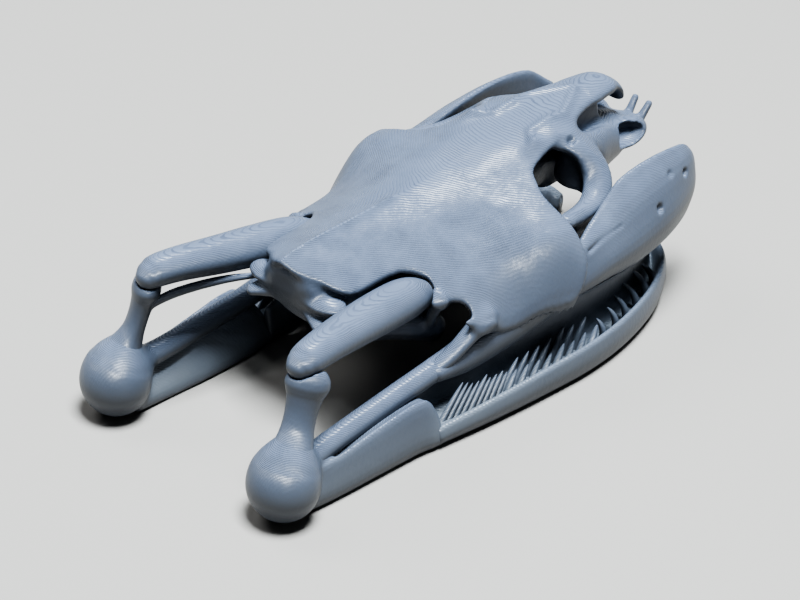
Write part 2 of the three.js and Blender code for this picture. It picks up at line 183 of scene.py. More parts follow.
class Field:
    """A block of distances to a bone's surface, negative inside."""

    def __init__(self, low: Point, high: Point, step: float) -> None:
        """Makes an empty block.

        Args:
            low: Lowest corner.
            high: Highest corner.
            step: Grid step.
        """
        self.step = step
        self.axes = [np.arange(a, b + step, step, dtype=np.float32) for a, b in zip(low, high)]
        self.values = np.full([len(axis) for axis in self.axes], FAR, dtype=np.float32)

    def window(self, low: Point, high: Point) -> tuple[tuple[slice, ...], list[np.ndarray]]:
        """Finds the part of the block between two corners.

        Args:
            low: Lowest corner of the part.
            high: Highest corner of the part.

        Returns:
            The index of that part and its open x, y and z grids.
        """
        slices = []
        for axis, a, b in zip(self.axes, low, high):
            start = int(np.searchsorted(axis, a))
            end = int(np.searchsorted(axis, b))
            slices.append(slice(start, max(end, start + 1)))
        grids = np.ix_(*[axis[part] for axis, part in zip(self.axes, slices)])
        return tuple(slices), list(grids)

    def margin(self, fillet: float) -> float:
        """How far round a form its fillet and the grid still matter."""
        return fillet + 3 * self.step

    def add(self, distance: Distance, low: Point, high: Point, fillet: float) -> None:
        """Adds a form to the bone.

        Args:
            distance: Function of x, y and z that gives the form's distance.
            low: Lowest corner that the form reaches.
            high: Highest corner that the form reaches.
            fillet: Radius of the joint.
        """
        margin = self.margin(fillet)
        part, grids = self.window(np.subtract(low, margin), np.add(high, margin))
        self.values[part] = blend_min(self.values[part], distance(*grids), fillet)

    def cut(self, distance: Distance, low: Point, high: Point, fillet: float) -> None:
        """Takes a form away from the bone.

        Args:
            distance: Function of x, y and z that gives the form's distance.
            low: Lowest corner that the form reaches.
            high: Highest corner that the form reaches.
            fillet: Radius of the cut's edge.
        """
        margin = self.margin(fillet)
        part, grids = self.window(np.subtract(low, margin), np.add(high, margin))
        self.values[part] = blend_max(self.values[part], -distance(*grids), fillet)

    def bar(
        self,
        points: Sequence[Point],
        fillet: float = 1.0,
        cut: bool = False,
        facing: Point | None = None,
    ) -> None:
        """Adds or cuts a bar with an oval section along a smooth curve.

        Args:
            points: Rows of x, y, z, half width and half height.
            fillet: Radius where it joins the rest.
            cut: Takes the bar away instead.
            facing: Direction that the oval's height points to, where it isn't upright.
        """
        rows = smooth_curve(points)
        low = (rows[:, :3] - rows[:, 3:].max()).min(0)
        high = (rows[:, :3] + rows[:, 3:].max()).max(0)
        margin = self.margin(fillet)
        part, grids = self.window(low - margin, high + margin)
        nearest = np.full(self.values[part].shape, FAR, dtype=np.float32)
        corner = [grid.ravel()[0] for grid in grids]
        for start, end in zip(rows[:-1], rows[1:]):
            reach = max(start[3:].max(), end[3:].max()) + margin
            a = np.minimum(start[:3], end[:3]) - reach
            b = np.maximum(start[:3], end[:3]) + reach
            inner = []
            for grid, lowest, p, q in zip(grids, corner, a, b):
                first = max(0, int((p - lowest) / self.step))
                last = min(grid.size, max(1, int((q - lowest) / self.step) + 1))
                inner.append(slice(first, max(last, first + 1)))
            x, y, z = grids[0][inner[0]], grids[1][:, inner[1]], grids[2][:, :, inner[2]]
            distance = segment_distance(x, y, z, start, end, facing)
            nearest[tuple(inner)] = np.minimum(nearest[tuple(inner)], distance)
        if cut:
            self.values[part] = blend_max(self.values[part], -nearest, fillet)
        else:
            self.values[part] = blend_min(self.values[part], nearest, fillet)

    def ball(self, centre: Point, radii: Point, fillet: float = 1.0, cut: bool = False) -> None:
        """Adds or cuts an ellipsoid.

        Args:
            centre: Its centre.
            radii: Its half sizes along x, y and z.
            fillet: Radius where it joins the rest.
            cut: Takes it away instead.
        """

        def distance(x: np.ndarray, y: np.ndarray, z: np.ndarray) -> np.ndarray:
            """Measures the distance to the ellipsoid.

            Args:
                x: Open grid of x.
                y: Open grid of y.
                z: Open grid of z.

            Returns:
                The distances, negative inside.
            """
            scaled = np.sqrt(
                ((x - centre[0]) / radii[0]) ** 2
                + ((y - centre[1]) / radii[1]) ** 2
                + ((z - centre[2]) / radii[2]) ** 2
            )
            return (scaled - 1) * min(radii)

        low, high = np.subtract(centre, radii), np.add(centre, radii)
        (self.cut if cut else self.add)(distance, low, high, fillet)

    def surface(self) -> tuple[np.ndarray, np.ndarray]:
        """Draws the zero surface with one point per crossed cell.

        Returns:
            The points and the four-sided faces.
        """
        values = self.values
        inside = values < 0
        corners = [(i, j, k) for i in (0, 1) for j in (0, 1) for k in (0, 1)]
        shape = tuple(n - 1 for n in values.shape)

        def shifted(block: np.ndarray, corner: tuple[int, int, int]) -> np.ndarray:
            """The block's values at one corner of every cell."""
            return block[tuple(slice(c, c + n) for c, n in zip(corner, shape))]

        count = sum(shifted(inside, corner).astype(np.int8) for corner in corners)
        cells = np.argwhere((count > 0) & (count < 8))
        number = np.full(shape, -1, dtype=np.int64)
        number[tuple(cells.T)] = np.arange(len(cells))
        total = np.zeros((len(cells), 3))
        crossings = np.zeros(len(cells))
        for a in corners:
            for axis in range(3):
                if a[axis]:
                    continue
                b = tuple(c + (1 if n == axis else 0) for n, c in enumerate(a))
                va = values[tuple((cells + a).T)]
                vb = values[tuple((cells + b).T)]
                crossed = (va < 0) != (vb < 0)
                share = np.where(crossed, va / np.where(crossed, va - vb, 1), 0)
                place = np.array(a, dtype=float) + np.eye(3)[axis] * share[:, None]
                total += np.where(crossed[:, None], place, 0)
                crossings += crossed
        origin = np.array([axis[0] for axis in self.axes])
        points = origin + self.step * (cells + total / crossings[:, None])
        faces = []
        for axis in range(3):
            u, v = (axis + 1) % 3, (axis + 2) % 3
            ahead = [slice(1, n - 1) for n in values.shape]
            ahead[axis] = slice(0, values.shape[axis] - 1)
            here = tuple(ahead)
            ahead[axis] = slice(1, values.shape[axis])
            there = tuple(ahead)
            start, end = inside[here], inside[there]
            offset = np.array([1, 1, 1])
            offset[axis] = 0
            for first, reverse in ((start & ~end, False), (~start & end, True)):
                edges = np.argwhere(first) + offset
                if not len(edges):
                    continue
                du, dv = np.eye(3, dtype=int)[u], np.eye(3, dtype=int)[v]
                ring = [edges - du - dv, edges - dv, edges, edges - du]
                quad = np.stack([number[tuple(cell.T)] for cell in ring], axis=1)
                faces.append(quad[:, ::-1] if reverse else quad)
        return points, np.concatenate(faces)


def segment_distance(
    x: np.ndarray,
    y: np.ndarray,
    z: np.ndarray,
    start: np.ndarray,
    end: np.ndarray,
    facing: Point | None = None,
) -> np.ndarray:
    """Measures the distance to one short piece of a bar.

    Args:
        x: Open grid of x.
        y: Open grid of y.
        z: Open grid of z.
        start: Row of the piece's start: x, y, z, half width, half height.
        end: Row of its end.
        facing: Direction that the oval's height points to.

    Returns:
        The distances.
    """
    span = end[:3] - start[:3]
    length = max(float(np.linalg.norm(span)), TINY)
    along = span / length
    upright = np.array([0, 1.0, 0]) if abs(along[2]) > 0.8 else np.array([0, 0, 1.0])
    reference = upright if facing is None else np.array(facing, dtype=float)
    across = np.cross(along, reference)
    across /= np.linalg.norm(across)
    upwards = np.cross(across, along)
    dx, dy, dz = x - start[0], y - start[1], z - start[2]
    reach = dx * along[0] + dy * along[1] + dz * along[2]
    share = np.clip(reach / length, 0, 1)
    beyond = reach - share * length
    side = dx * across[0] + dy * across[1] + dz * across[2]
    height = dx * upwards[0] + dy * upwards[1] + dz * upwards[2]
    width = start[3] + (end[3] - start[3]) * share
    depth = start[4] + (end[4] - start[4]) * share
    smaller = np.minimum(width, depth)
    scaled = np.sqrt((side / width) ** 2 + (height / depth) ** 2 + (beyond / smaller) ** 2)
    return ((scaled - 1) * smaller).astype(np.float32)


def spread(rows: Sequence[Point], at: np.ndarray, column: int) -> np.ndarray:
    """Reads a column of a table at places between its rows, along a smooth curve.

    Args:
        rows: The table, with the place in its first column.
        at: Places to read at.
        column: Number of the column.

    Returns:
        The column's values there.
    """
    table = np.array(rows, dtype=float)
    keys = table[:, 0]
    order = np.argsort(keys)
    keys, values = keys[order], table[order, column]
    slopes = np.gradient(values, keys)
    place = np.clip(at, keys[0], keys[-1])
    index = np.clip(np.searchsorted(keys, place, side="right") - 1, 0, len(keys) - 2)
    width = keys[index + 1] - keys[index]
    t = (place - keys[index]) / width
    ends = values[index], values[index + 1]
    return hermite(ends, (slopes[index], slopes[index + 1]), width, t)


def outline_distance(x: np.ndarray, y: np.ndarray, outline: np.ndarray) -> np.ndarray:
    """Measures the distance to a closed outline in plan, negative inside.

    Args:
        x: Grid of x.
        y: Grid of y.
        outline: Corners of the outline.

    Returns:
        The distances.
    """
    nearest = np.full(np.broadcast(x, y).shape, FAR * FAR)
    inside = np.zeros(nearest.shape, dtype=bool)
    for (ax, ay), (bx, by) in zip(outline, np.roll(outline, -1, axis=0)):
        ex, ey = bx - ax, by - ay
        t = np.clip(((x - ax) * ex + (y - ay) * ey) / max(ex * ex + ey * ey, TINY), 0, 1)
        nearest = np.minimum(nearest, (x - ax - t * ex) ** 2 + (y - ay - t * ey) ** 2)
        crosses = ((ay > y) != (by > y)) & (x < ex * (y - ay) / (ey if ey else TINY) + ax)
        inside ^= crosses
    distance = np.sqrt(nearest)
    return np.where(inside, -distance, distance)


class SkinMesh:
    """Turns a field into an object."""

    @staticmethod
    def create(name: str, block: Field, sign: float = 1.0) -> bpy.types.Object:
        """Draws a field as one smooth closed mesh.

        Args:
            name: The object's name.
            block: The field.
            sign: -1 mirrors a left bone to the right side.

        Returns:
            The new object.
        """
        points, faces = block.surface()
        points = points + (0, MIDDLE_SHIFT, 0)
        if sign < 0:
            points = points * (-1, 1, 1)
            faces = faces[:, ::-1]
        mesh = bpy.data.meshes.new(name)
        mesh.from_pydata((points * MM).tolist(), [], faces.tolist())
        mesh.polygons.foreach_set("use_smooth", [True] * len(mesh.polygons))
        mesh.update()
        made = bpy.data.objects.new(name, mesh)
        bpy.context.collection.objects.link(made)
        return made


class NodeBoard:
    """Adds nodes to a tree and links them."""

    def __init__(self, tree: bpy.types.NodeTree) -> None:
        """Keeps the tree and its way to link."""
        self.tree = tree
        self.link = tree.links.new

    def add(self, kind: str, **settings: str) -> bpy.types.Node:
        """Adds a node.

        Args:
            kind: The node's type.
            settings: Its settings by name.

        Returns:
            The node.
        """
        node = self.tree.nodes.new(kind)
        for name, value in settings.items():
            setattr(node, name, value)
        return node

    def math(self, operation: str, *values: bpy.types.NodeSocket | float) -> bpy.types.NodeSocket:
        """Adds a math node.

        Args:
            operation: What it works out.
            values: Its inputs, each a socket to link or a number.

        Returns:
            The result.
        """
        node = self.add("ShaderNodeMath", operation=operation)
        for socket, value in zip(node.inputs, values):
            if isinstance(value, (int, float)):
                socket.default_value = value
            else:
                self.link(value, socket)
        return node.outputs[0]

    def split(self, vector: bpy.types.NodeSocket) -> bpy.types.NodeOutputs:
        """Splits a vector into X, Y and Z.

        Args:
            vector: The vector.

        Returns:
            The three outputs.
        """
        node = self.add("ShaderNodeSeparateXYZ")
        self.link(vector, node.inputs[0])
        return node.outputs

    def noise(
        self, place: bpy.types.NodeSocket, scale: float, detail: float
    ) -> bpy.types.NodeSocket:
        """Adds a noise texture.

        Args:
            place: Where it is read.
            scale: Its lumps in a metre.
            detail: How many finer layers it has.

        Returns:
            A value from 0 to 1.
        """
        noise = self.add("ShaderNodeTexNoise")
        noise.inputs["Scale"].default_value = scale
        noise.inputs["Detail"].default_value = detail
        self.link(place, noise.inputs["Vector"])
        return noise.outputs["Fac"]

    def mix(
        self,
        share: bpy.types.NodeSocket,
        first: bpy.types.NodeSocket | Colour,
        second: bpy.types.NodeSocket | Colour,
    ) -> bpy.types.NodeSocket:
        """Mixes two colours.

        Args:
            share: How much of the second there is.
            first: A socket or a plain colour.
            second: A socket or a plain colour.

        Returns:
            The mixed colour.
        """
        node = self.add("ShaderNodeMix", data_type="RGBA")
        self.link(share, node.inputs["Factor"])
        for socket, value in ((node.inputs[6], first), (node.inputs[7], second)):
            if isinstance(value, tuple):
                socket.default_value = (*value, 1.0)
            else:
                self.link(value, socket)
        return node.outputs[2]


@dataclass(frozen=True)
class PrintedBone:
    """The finish: matte blue-grey plastic laid down in thin flat layers.
    Its colour also holds painted shade where the surface faces down and in the grooves between layers, and
    a pale colour near the ground that is partly dust and partly painted light bounced from the ground.

    Reliefs are shares of the bump distance, and a scale is a pattern's lumps in a metre.
    """

    colour: Colour = (0.092, 0.118, 0.17)
    pale: Colour = (0.14, 0.175, 0.24)
    # Painted shade: the colour that surfaces facing down are darkened towards.
    shade: Colour = (0.022, 0.027, 0.037)
    # Pale dust mixed with painted light bounced from the ground.
    dust_and_bounce_light: Colour = (0.2, 0.22, 0.2)
    # Painted shade in the grooves between layers.
    groove: Colour = (0.05, 0.065, 0.1)
    roughness: float = 0.4
    specular: float = 0.55
    layer_mm: float = 0.16
    layer_tilt: float = 0.16
    layer_wander_mm: float = 0.9
    groove_from: float = 0.72
    flat_relief: float = 0.12
    steep_relief: float = 0.006
    grain_relief: float = 0.02
    bump_distance_mm: float = 2.0
    dust_and_bounce_height_mm: float = 8.0
    wander_scale: float = 120.0
    patch_scale: float = 350.0
    grain_scale: float = 1500.0
    cloud_scale: float = 90.0
    lean_gain: float = 2.0
    lean_least: float = 0.1
    patch_gain: float = 1.6
    patch_least: float = 0.2
    sky_gain: float = 1.05
    sky_least: float = 0.1

    def build(self) -> bpy.types.Material:
        """Builds the material's nodes.

        Returns:
            The material.
        """
        material = bpy.data.materials.new("printed_bone")
        material.use_nodes = True
        board = NodeBoard(material.node_tree)
        shader = material.node_tree.nodes["Principled BSDF"]
        shader.inputs["Roughness"].default_value = self.roughness
        shader.inputs["Specular IOR Level"].default_value = self.specular
        place = board.add("ShaderNodeTexCoord").outputs["Object"]
        axes = board.split(place)
        facing = board.split(board.add("ShaderNodeNewGeometry").outputs["Normal"])["Z"]
        wander = board.noise(place, self.wander_scale, detail=4.0)
        tilted = board.math("MULTIPLY_ADD", axes["Y"], -self.layer_tilt, axes["Z"])
        height = board.math("MULTIPLY_ADD", wander, self.layer_wander_mm * MM, tilted)
        layers = board.math("MULTIPLY", height, 1 / (self.layer_mm * MM))
        patches = board.noise(place, self.patch_scale, detail=3.0)
        bump = board.add("ShaderNodeBump")
        bump.inputs["Distance"].default_value = self.bump_distance_mm * MM
        bump.inputs["Strength"].default_value = 1.0
        board.link(self._relief(board, place, facing, layers, patches), bump.inputs["Height"])
        board.link(bump.outputs["Normal"], shader.inputs["Normal"])
        cloud = board.noise(place, self.cloud_scale, detail=4.0)
        sky = self._open_sky(board, facing)
        # Painted shade: surfaces that face down are darkened, surfaces that face up keep the lighter tint.
        shaded = board.mix(sky, self.shade, board.mix(cloud, self.colour, self.pale))
        # Painted shade along the grooves between layers, most where the surface is level.
        groove_shaded = board.mix(self._lines(board, facing, layers, patches), shaded, self.groove)
        # Pale colour on open surfaces near the ground: partly dust, partly painted light bounced from the
        # ground.
        dust_and_bounce_share = board.math("MULTIPLY", self._settled(board, axes["Z"], sky), cloud)
        board.link(board.mix(dust_and_bounce_share, groove_shaded, self.dust_and_bounce_light), shader.inputs["Base Color"])
        return material

    def _open_sky(self, board: NodeBoard, facing: bpy.types.NodeSocket) -> bpy.types.NodeSocket:
        """Works out how openly the surface faces the sky, which sets how much painted shade the colour
        gets.

        Args:
            board: The material's nodes.
            facing: Height of the surface's normal.

        Returns:
            A value from 0, facing down, to 1, facing up.
        """
        upwards = board.math("MULTIPLY_ADD", facing, self.sky_gain, self.sky_least)
        return board.math("MINIMUM", board.math("MAXIMUM", upwards, 0.0), 1.0)

    def _relief(
        self,
        board: NodeBoard,
        place: bpy.types.NodeSocket,
        facing: bpy.types.NodeSocket,
        layers: bpy.types.NodeSocket,
        patches: bpy.types.NodeSocket,
    ) -> bpy.types.NodeSocket:
        """Raises the layers' edges, most on gentle slopes, and a fine grain.

        Args:
            board: The material's nodes.
            place: Object coordinates.
            facing: Height of the surface's normal.
            layers: Height counted in layers.
            patches: Where the layers show more.

        Returns:
            The relief, counted in bump distances.
        """
        wave = board.math("PINGPONG", layers, 0.5)
        squared = board.math("MULTIPLY", facing, facing)
        lean = board.math("SQRT", board.math("SUBTRACT", 1.0, squared))
        raised = board.math("MULTIPLY_ADD", lean, self.lean_gain, self.lean_least)
        flat = board.math("MULTIPLY", squared, board.math("MINIMUM", raised, 1.0))
        more = self.flat_relief - self.steep_relief
        amount = board.math("MULTIPLY_ADD", flat, more, self.steep_relief)
        uneven = board.math("MULTIPLY_ADD", patches, self.patch_gain, self.patch_least)
        relief = board.math("MULTIPLY", wave, board.math("MULTIPLY", amount, uneven))
        fine = board.noise(place, self.grain_scale, detail=3.0)
        return board.math("MULTIPLY_ADD", fine, self.grain_relief, relief)

    def _lines(
        self,
        board: NodeBoard,
        facing: bpy.types.NodeSocket,
        layers: bpy.types.NodeSocket,
        patches: bpy.types.NodeSocket,
    ) -> bpy.types.NodeSocket:
        """Finds the lines between layers, where shade is painted into the grooves; they show most where
        the surface is level.

        Args:
            board: The material's nodes.
            facing: Height of the surface's normal.
            layers: Height counted in layers.
            patches: Where the layers show more.

        Returns:
            A value from 0 to 1.
        """
        line = board.math("GREATER_THAN", board.math("FRACT", layers), self.groove_from)
        broken = board.math("MULTIPLY", line, patches)
        return board.math("MULTIPLY", broken, board.math("ABSOLUTE", facing))

    def _settled(
        self, board: NodeBoard, height: bpy.types.NodeSocket, sky: bpy.types.NodeSocket
    ) -> bpy.types.NodeSocket:
        """Works out how much pale colour goes on, most on open surfaces near the ground: partly dust that
        settles, partly painted light bounced from the ground.

        Args:
            board: The material's nodes.
            height: Height in metres.
            sky: How openly the surface faces the sky.

        Returns:
            A value from 0 to 1.
        """
        low = board.math("MULTIPLY_ADD", height, -1 / (self.dust_and_bounce_height_mm * MM), 1.0)
        return board.math("MULTIPLY", board.math("MAXIMUM", low, 0.0), sky)


@dataclass
class Bone:
    """A bone that stands for one CAD node on each side, or on the midline."""

    material: bpy.types.Material

    def finish(self, made: bpy.types.Object, node: str) -> bpy.types.Object:
        """Dresses a piece and ties it to the frame.

        Args:
            made: The piece.
            node: The CAD node that it stands for.

        Returns:
            The piece.
        """
        made.data.materials.clear()
        made.data.materials.append(self.material)
        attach(made, "root")
        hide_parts(node)
        return made

    def skin(self, block: Field, node: str, sign: float = 1.0) -> bpy.types.Object:
        """Draws a field as the finished skin of a node."""
        return self.finish(SkinMesh.create(f"{node}_skin", block, sign), node)


def grid_step(step: float) -> float:
    """The grid step to use."""
    return step


def along_x(point: Point, sign: float) -> Point:
    """The same place on either side."""
    return (point[0] * sign, *point[1:])


def mirrored_points(points: Sequence[Point]) -> list[Point]:
    """The same rows on the animal's right."""
    return [along_x(row, -1) for row in points]


def grown(points: Sequence[Point], gap: float) -> list[Point]:
    """The same bar, thicker by a gap all round."""
    return [(*row[:3], row[3] + gap, row[4] + gap) for row in points]


@dataclass
class Cranium(Bone):
    """Braincase, roof, wings, orbit rims and snout.

    A bar's row is x, y, z, half width and half height. A row of heights is y and the roof's height at each
    place across. A row of a body is y, half width, lowest and highest z.
    """

    low: Point = (-24, -50.5, 7)
    high: Point = (24, 30, 31.5)
    across: tuple[float, ...] = (0, 4, 8, 12, 16, 20, 23)
    heights: tuple[tuple[float, ...], ...] = (
        (28, 25.2, 23.2, 21.0, 18.4, 16.0, 14.0, 12.8),
        (21, 25.9, 24.1, 21.8, 19.2, 16.6, 14.4, 13.0),
        (14, 26.0, 24.6, 22.3, 19.6, 17.0, 15.0, 13.2),
        (8, 26.1, 25.0, 23.0, 20.4, 17.7, 15.4, 13.0),
        (0, 26.5, 25.7, 24.2, 22.0, 19.2, 15.8, 13.4),
        (-3, 26.8, 26.2, 25.0, 23.4, 21.4, 18.8, 15.0),
        (-6, 27.2, 26.8, 25.6, 24.4, 23.0, 20.8, 16.6),
        (-11, 28.0, 27.6, 26.4, 25.0, 23.6, 21.6, 19.6),
        (-15, 28.4, 28.2, 27.2, 25.2, 23.4, 21.4, 19.6),
        (-20, 28.9, 28.8, 27.6, 25.4, 23.0, 20.6, 17.0),
        (-26, 29.3, 28.8, 26.4, 24.0, 22.0, 20.0, 17.0),
        (-32, 29.4, 28.4, 25.4, 22.0, 20.0, 18.0, 16.0),
        (-40, 28.4, 27.2, 24.0, 21.0, 20.0, 18.0, 16.0),
    )
    outline: tuple[Point, ...] = (
        (0, 27.2), (2.2, 26.4), (4.6, 24.4), (6.8, 23), (8, 20.8), (8.3, 14.7), (9, 12.2),
        (10.8, 10.2), (12.2, 10.4), (13.2, 12), (14.3, 11.4), (14.6, 8.8), (15.6, 7.4), (16.8, 7.4),
        (17.4, 9.4), (18.1, 6.6), (18.4, 3.4), (19, 0), (20.1, -3.2), (20.9, -5.6), (21.7, -8.4),
        (21.6, -10.6), (20, -11.4), (13, -11.6), (10, -12.6), (8.2, -14), (7.2, -18.5), (6.4, -21),
        (6.6, -23.6), (5, -26.6), (4, -30), (3.2, -35), (2.4, -38), (0, -38.6),
    )
    body: tuple[Point, ...] = (
        (26.3, 3.4, 19.4, 23.6), (25.1, 4.8, 17, 24), (22.7, 6, 14.2, 24.2), (19, 6.8, 11.8, 24.3),
        (14, 7.4, 9.6, 24.4), (4, 7.4, 10, 24.8),
        (-6, 6.6, 11.8, 25.6), (-14, 5, 14, 27.4), (-22, 3.8, 16.2, 28.2), (-30, 2.8, 17.4, 28.4),
        (-36, 2, 18, 28),
    )
    snout_floor: tuple[Point, ...] = (
        (-24, 3.6, 15.8, 22), (-30, 4.1, 16.4, 23.4), (-36, 3.8, 16.9, 23.8), (-41, 3.2, 17.2, 22),
        (-44, 2.6, 17.4, 20.6), (-46.8, 1.6, 17.8, 19.4),
    )
    arch: tuple[Point, ...] = (
        (4, -21.6, 27.2, 2.4, 1.4), (7, -23.4, 26.4, 2.5, 1.3), (9.2, -24.4, 24.8, 2.4, 1.2),
        (11.2, -24.2, 22.9, 2.2, 1.1), (12.8, -22.6, 21.4, 2, 1.1), (14.2, -18.8, 20.8, 1.6, 1.1),
        (15.4, -13, 21.6, 1.3, 1),
    )
    nasal_hood: tuple[Point, ...] = (
        (0, -33, 28, 2.9, 1.1), (0, -36.6, 28.2, 2.7, 1), (0, -39.2, 27.4, 2.4, 0.9),
        (0, -40.8, 25.9, 2.1, 0.75), (0, -41.2, 24.7, 1.9, 0.6),
    )
    cup_centre: Point = (3.6, -40, 20.2)
    cup_radii: Point = (2.5, 4.2, 2.2)
    cup_hollow_centre: Point = (5.0, -39.0, 20.8)
    cup_hollow_radii: Point = (2.3, 3.1, 1.5)
    snout_side: tuple[Point, ...] = (
        (6.6, -25, 22.6, 2.0, 3.0), (6.2, -28.6, 21.8, 2.1, 3.6), (5.2, -32.4, 21, 1.9, 3.4),
        (4.2, -36.4, 20, 1.7, 2.4),
    )
    arch_wall: tuple[Point, ...] = (
        (6.6, -23, 23.4, 1.1, 3.2), (9.2, -23.9, 22.4, 1.0, 2.9), (11.2, -23.8, 20.6, 1.0, 2.7),
        (12.8, -22.4, 19.4, 1.0, 2.3), (14.2, -19, 19.2, 0.9, 1.8), (15.2, -14.6, 20, 0.8, 1.4),
    )
    prong: tuple[Point, ...] = (
        (1, -45.2, 18.2, 0.8, 0.8), (1.1, -46.6, 18.6, 0.68, 0.68), (1.3, -48.4, 20.8, 0.55, 0.55),
    )
    flange: tuple[Point, ...] = (
        (6.4, 19, 13.4, 1.6, 1.3), (7, 14, 12.6, 2.4, 1.7), (8.2, 10.8, 12.1, 2.8, 2.0),
        (9.8, 8.6, 11.6, 2.0, 2.3), (10.2, 7.8, 11, 1.7, 2.1),
    )
    strut: tuple[Point, ...] = (
        (13.8, 10.4, 18.6, 1.1, 0.8), (12.4, 10.1, 15.9, 0.8, 0.6), (11.2, 9.6, 13.4, 0.85, 0.7),
        (10.4, 9.2, 12.4, 0.8, 0.8),
    )
    ledge_centre: Point = (4.8, 23.7, 19.7)
    ledge_radii: Point = (3.6, 2.4, 1.1)
    occiput_prong: tuple[Point, ...] = (
        (2.8, 23, 18.4, 2.6, 1.4), (4.8, 24.4, 17.9, 2, 1), (6.4, 25.9, 17.3, 1.1, 0.7),
    )
    wing_edge: tuple[Point, ...] = (
        (17.4, 9.4), (18.1, 6.6), (18.4, 3.4), (19, 0), (20.1, -3.2), (20.9, -5.6), (21.7, -8.4),
        (21.7, -10.8),
    )
    wing_droop: tuple[Point, ...] = (
        (9.4, 0.4), (6.6, 1.6), (3.4, 2.8), (0, 3.6), (-3, 4.6), (-5.6, 5.2), (-8.4, 5.4), (-10.4, 3.2),
        (-11.6, 2.2),
    )
    droop_width: float = 4.2
    brow_bump: Point = (6.0, -16.6, 0.75, 1.1, 1.9)
    brow_ridge: tuple[Point, ...] = (
        (5.6, -16.4), (3.4, -18.4), (3.3, -21.7), (3.6, -25.4), (1.9, -28.6), (0.4, -31.4),
    )
    ridge_rise: float = 0.4
    ridge_spread: float = 0.7
    crest_rise: float = 0.45
    crest_spread: float = 0.7
    crest_front: Point = (3, 4)
    crest_back: Point = (27.5, 2)
    pit_centre: Point = (7.7, -22.4, 27.6)
    pit_radii: Point = (0.55, 0.8, 0.9)
    wing_process: tuple[Point, ...] = (
        (16.9, 4.8, 14.6, 1.5, 1.2), (16.8, 8, 12.9, 1.35, 1.1), (16.4, 10.6, 11, 1.25, 1.1),
        (15.8, 12.8, 9.6, 1.2, 1.1),
    )
    half_thickness: float = 0.75
    bed_gap: float = 0.3
    edge_half_thickness: float = 0.42
    edge_taper: float = 3.0
    edge_rounding: float = 0.45
    middle_slope: float = 0.6

    def roof_height(self, x: np.ndarray, y: np.ndarray) -> np.ndarray:
        """Reads the height of the roof over each place in plan.

        Args:
            x: Grid of x.
            y: Grid of y.

        Returns:
            The heights.
        """
        reach = np.minimum(np.abs(x), self.across[-1])
        columns = [spread(self.heights, y, n + 1) for n in range(len(self.across))]
        keys = np.array(self.across, dtype=float)
        index = np.clip(np.searchsorted(keys, reach, side="right") - 1, 0, len(keys) - 2)
        stacked = np.stack([np.broadcast_to(c, np.broadcast(x, y).shape) for c in columns])
        slopes = np.gradient(stacked, keys, axis=0)
        slopes[0] *= self.middle_slope
        index = np.broadcast_to(index, stacked.shape[1:])
        width = keys[index + 1] - keys[index]
        t = (reach - keys[index]) / width

        def pick(table: np.ndarray, at: np.ndarray) -> np.ndarray:
            """Takes the table's value for the column at each place."""
            return np.take_along_axis(table, at[None], axis=0)[0]

        ends = pick(stacked, index), pick(stacked, index + 1)
        return hermite(ends, (pick(slopes, index), pick(slopes, index + 1)), width, t)

    def relief(self, x: np.ndarray, y: np.ndarray) -> np.ndarray:
        """Adds up the low forms on the roof: middle crest, brow bumps, ridges and drooped edges.

        Args:
            x: Grid of x.
            y: Grid of y.

        Returns:
            Height above the plain roof.
        """
        front, fade_in = self.crest_front
        back, fade_out = self.crest_back
        along = np.clip((y - front) / fade_in, 0, 1) * np.clip((back - y) / fade_out, 0, 1)
        rise = self.crest_rise * along * np.exp(-np.abs(x) / self.crest_spread)
        rise = rise - self._droop(x, y)
        cx, cy, bump, wide, deep = self.brow_bump
        rise = rise + bump * np.exp(-(((np.abs(x) - cx) / wide) ** 2) - ((y - cy) / deep) ** 2)
        nearest = self._line_distance(np.abs(x), y, self.brow_ridge)
        return rise + self.ridge_rise * np.exp(-((nearest / self.ridge_spread) ** 2))

    def _droop(self, x: np.ndarray, y: np.ndarray) -> np.ndarray:
        """Works out how far the roof bends down near the wings' outer edges.

        Args:
            x: Grid of x.
            y: Grid of y.

        Returns:
            The drop.
        """
        nearest = self._line_distance(np.abs(x), y, self.wing_edge)
        table = np.array(sorted(self.wing_droop))
        most = np.interp(y, table[:, 0], table[:, 1], left=0, right=0)
        return most * np.clip(1 - nearest / self.droop_width, 0, 1) ** 2

    @staticmethod
    def _line_distance(x: np.ndarray, y: np.ndarray, line: tuple[Point, ...]) -> np.ndarray:
        """Measures the distance in plan to an open line.

        Args:
            x: Grid of x.
            y: Grid of y.
            line: Corners of the line.

        Returns:
            The distances.
        """
        nearest = np.full(np.broadcast(x, y).shape, FAR)
        for (ax, ay), (bx, by) in zip(line[:-1], line[1:]):
            ex, ey = bx - ax, by - ay
            t = np.clip(((x - ax) * ex + (y - ay) * ey) / (ex * ex + ey * ey), 0, 1)
            nearest = np.minimum(nearest, np.hypot(x - ax - t * ex, y - ay - t * ey))
        return nearest

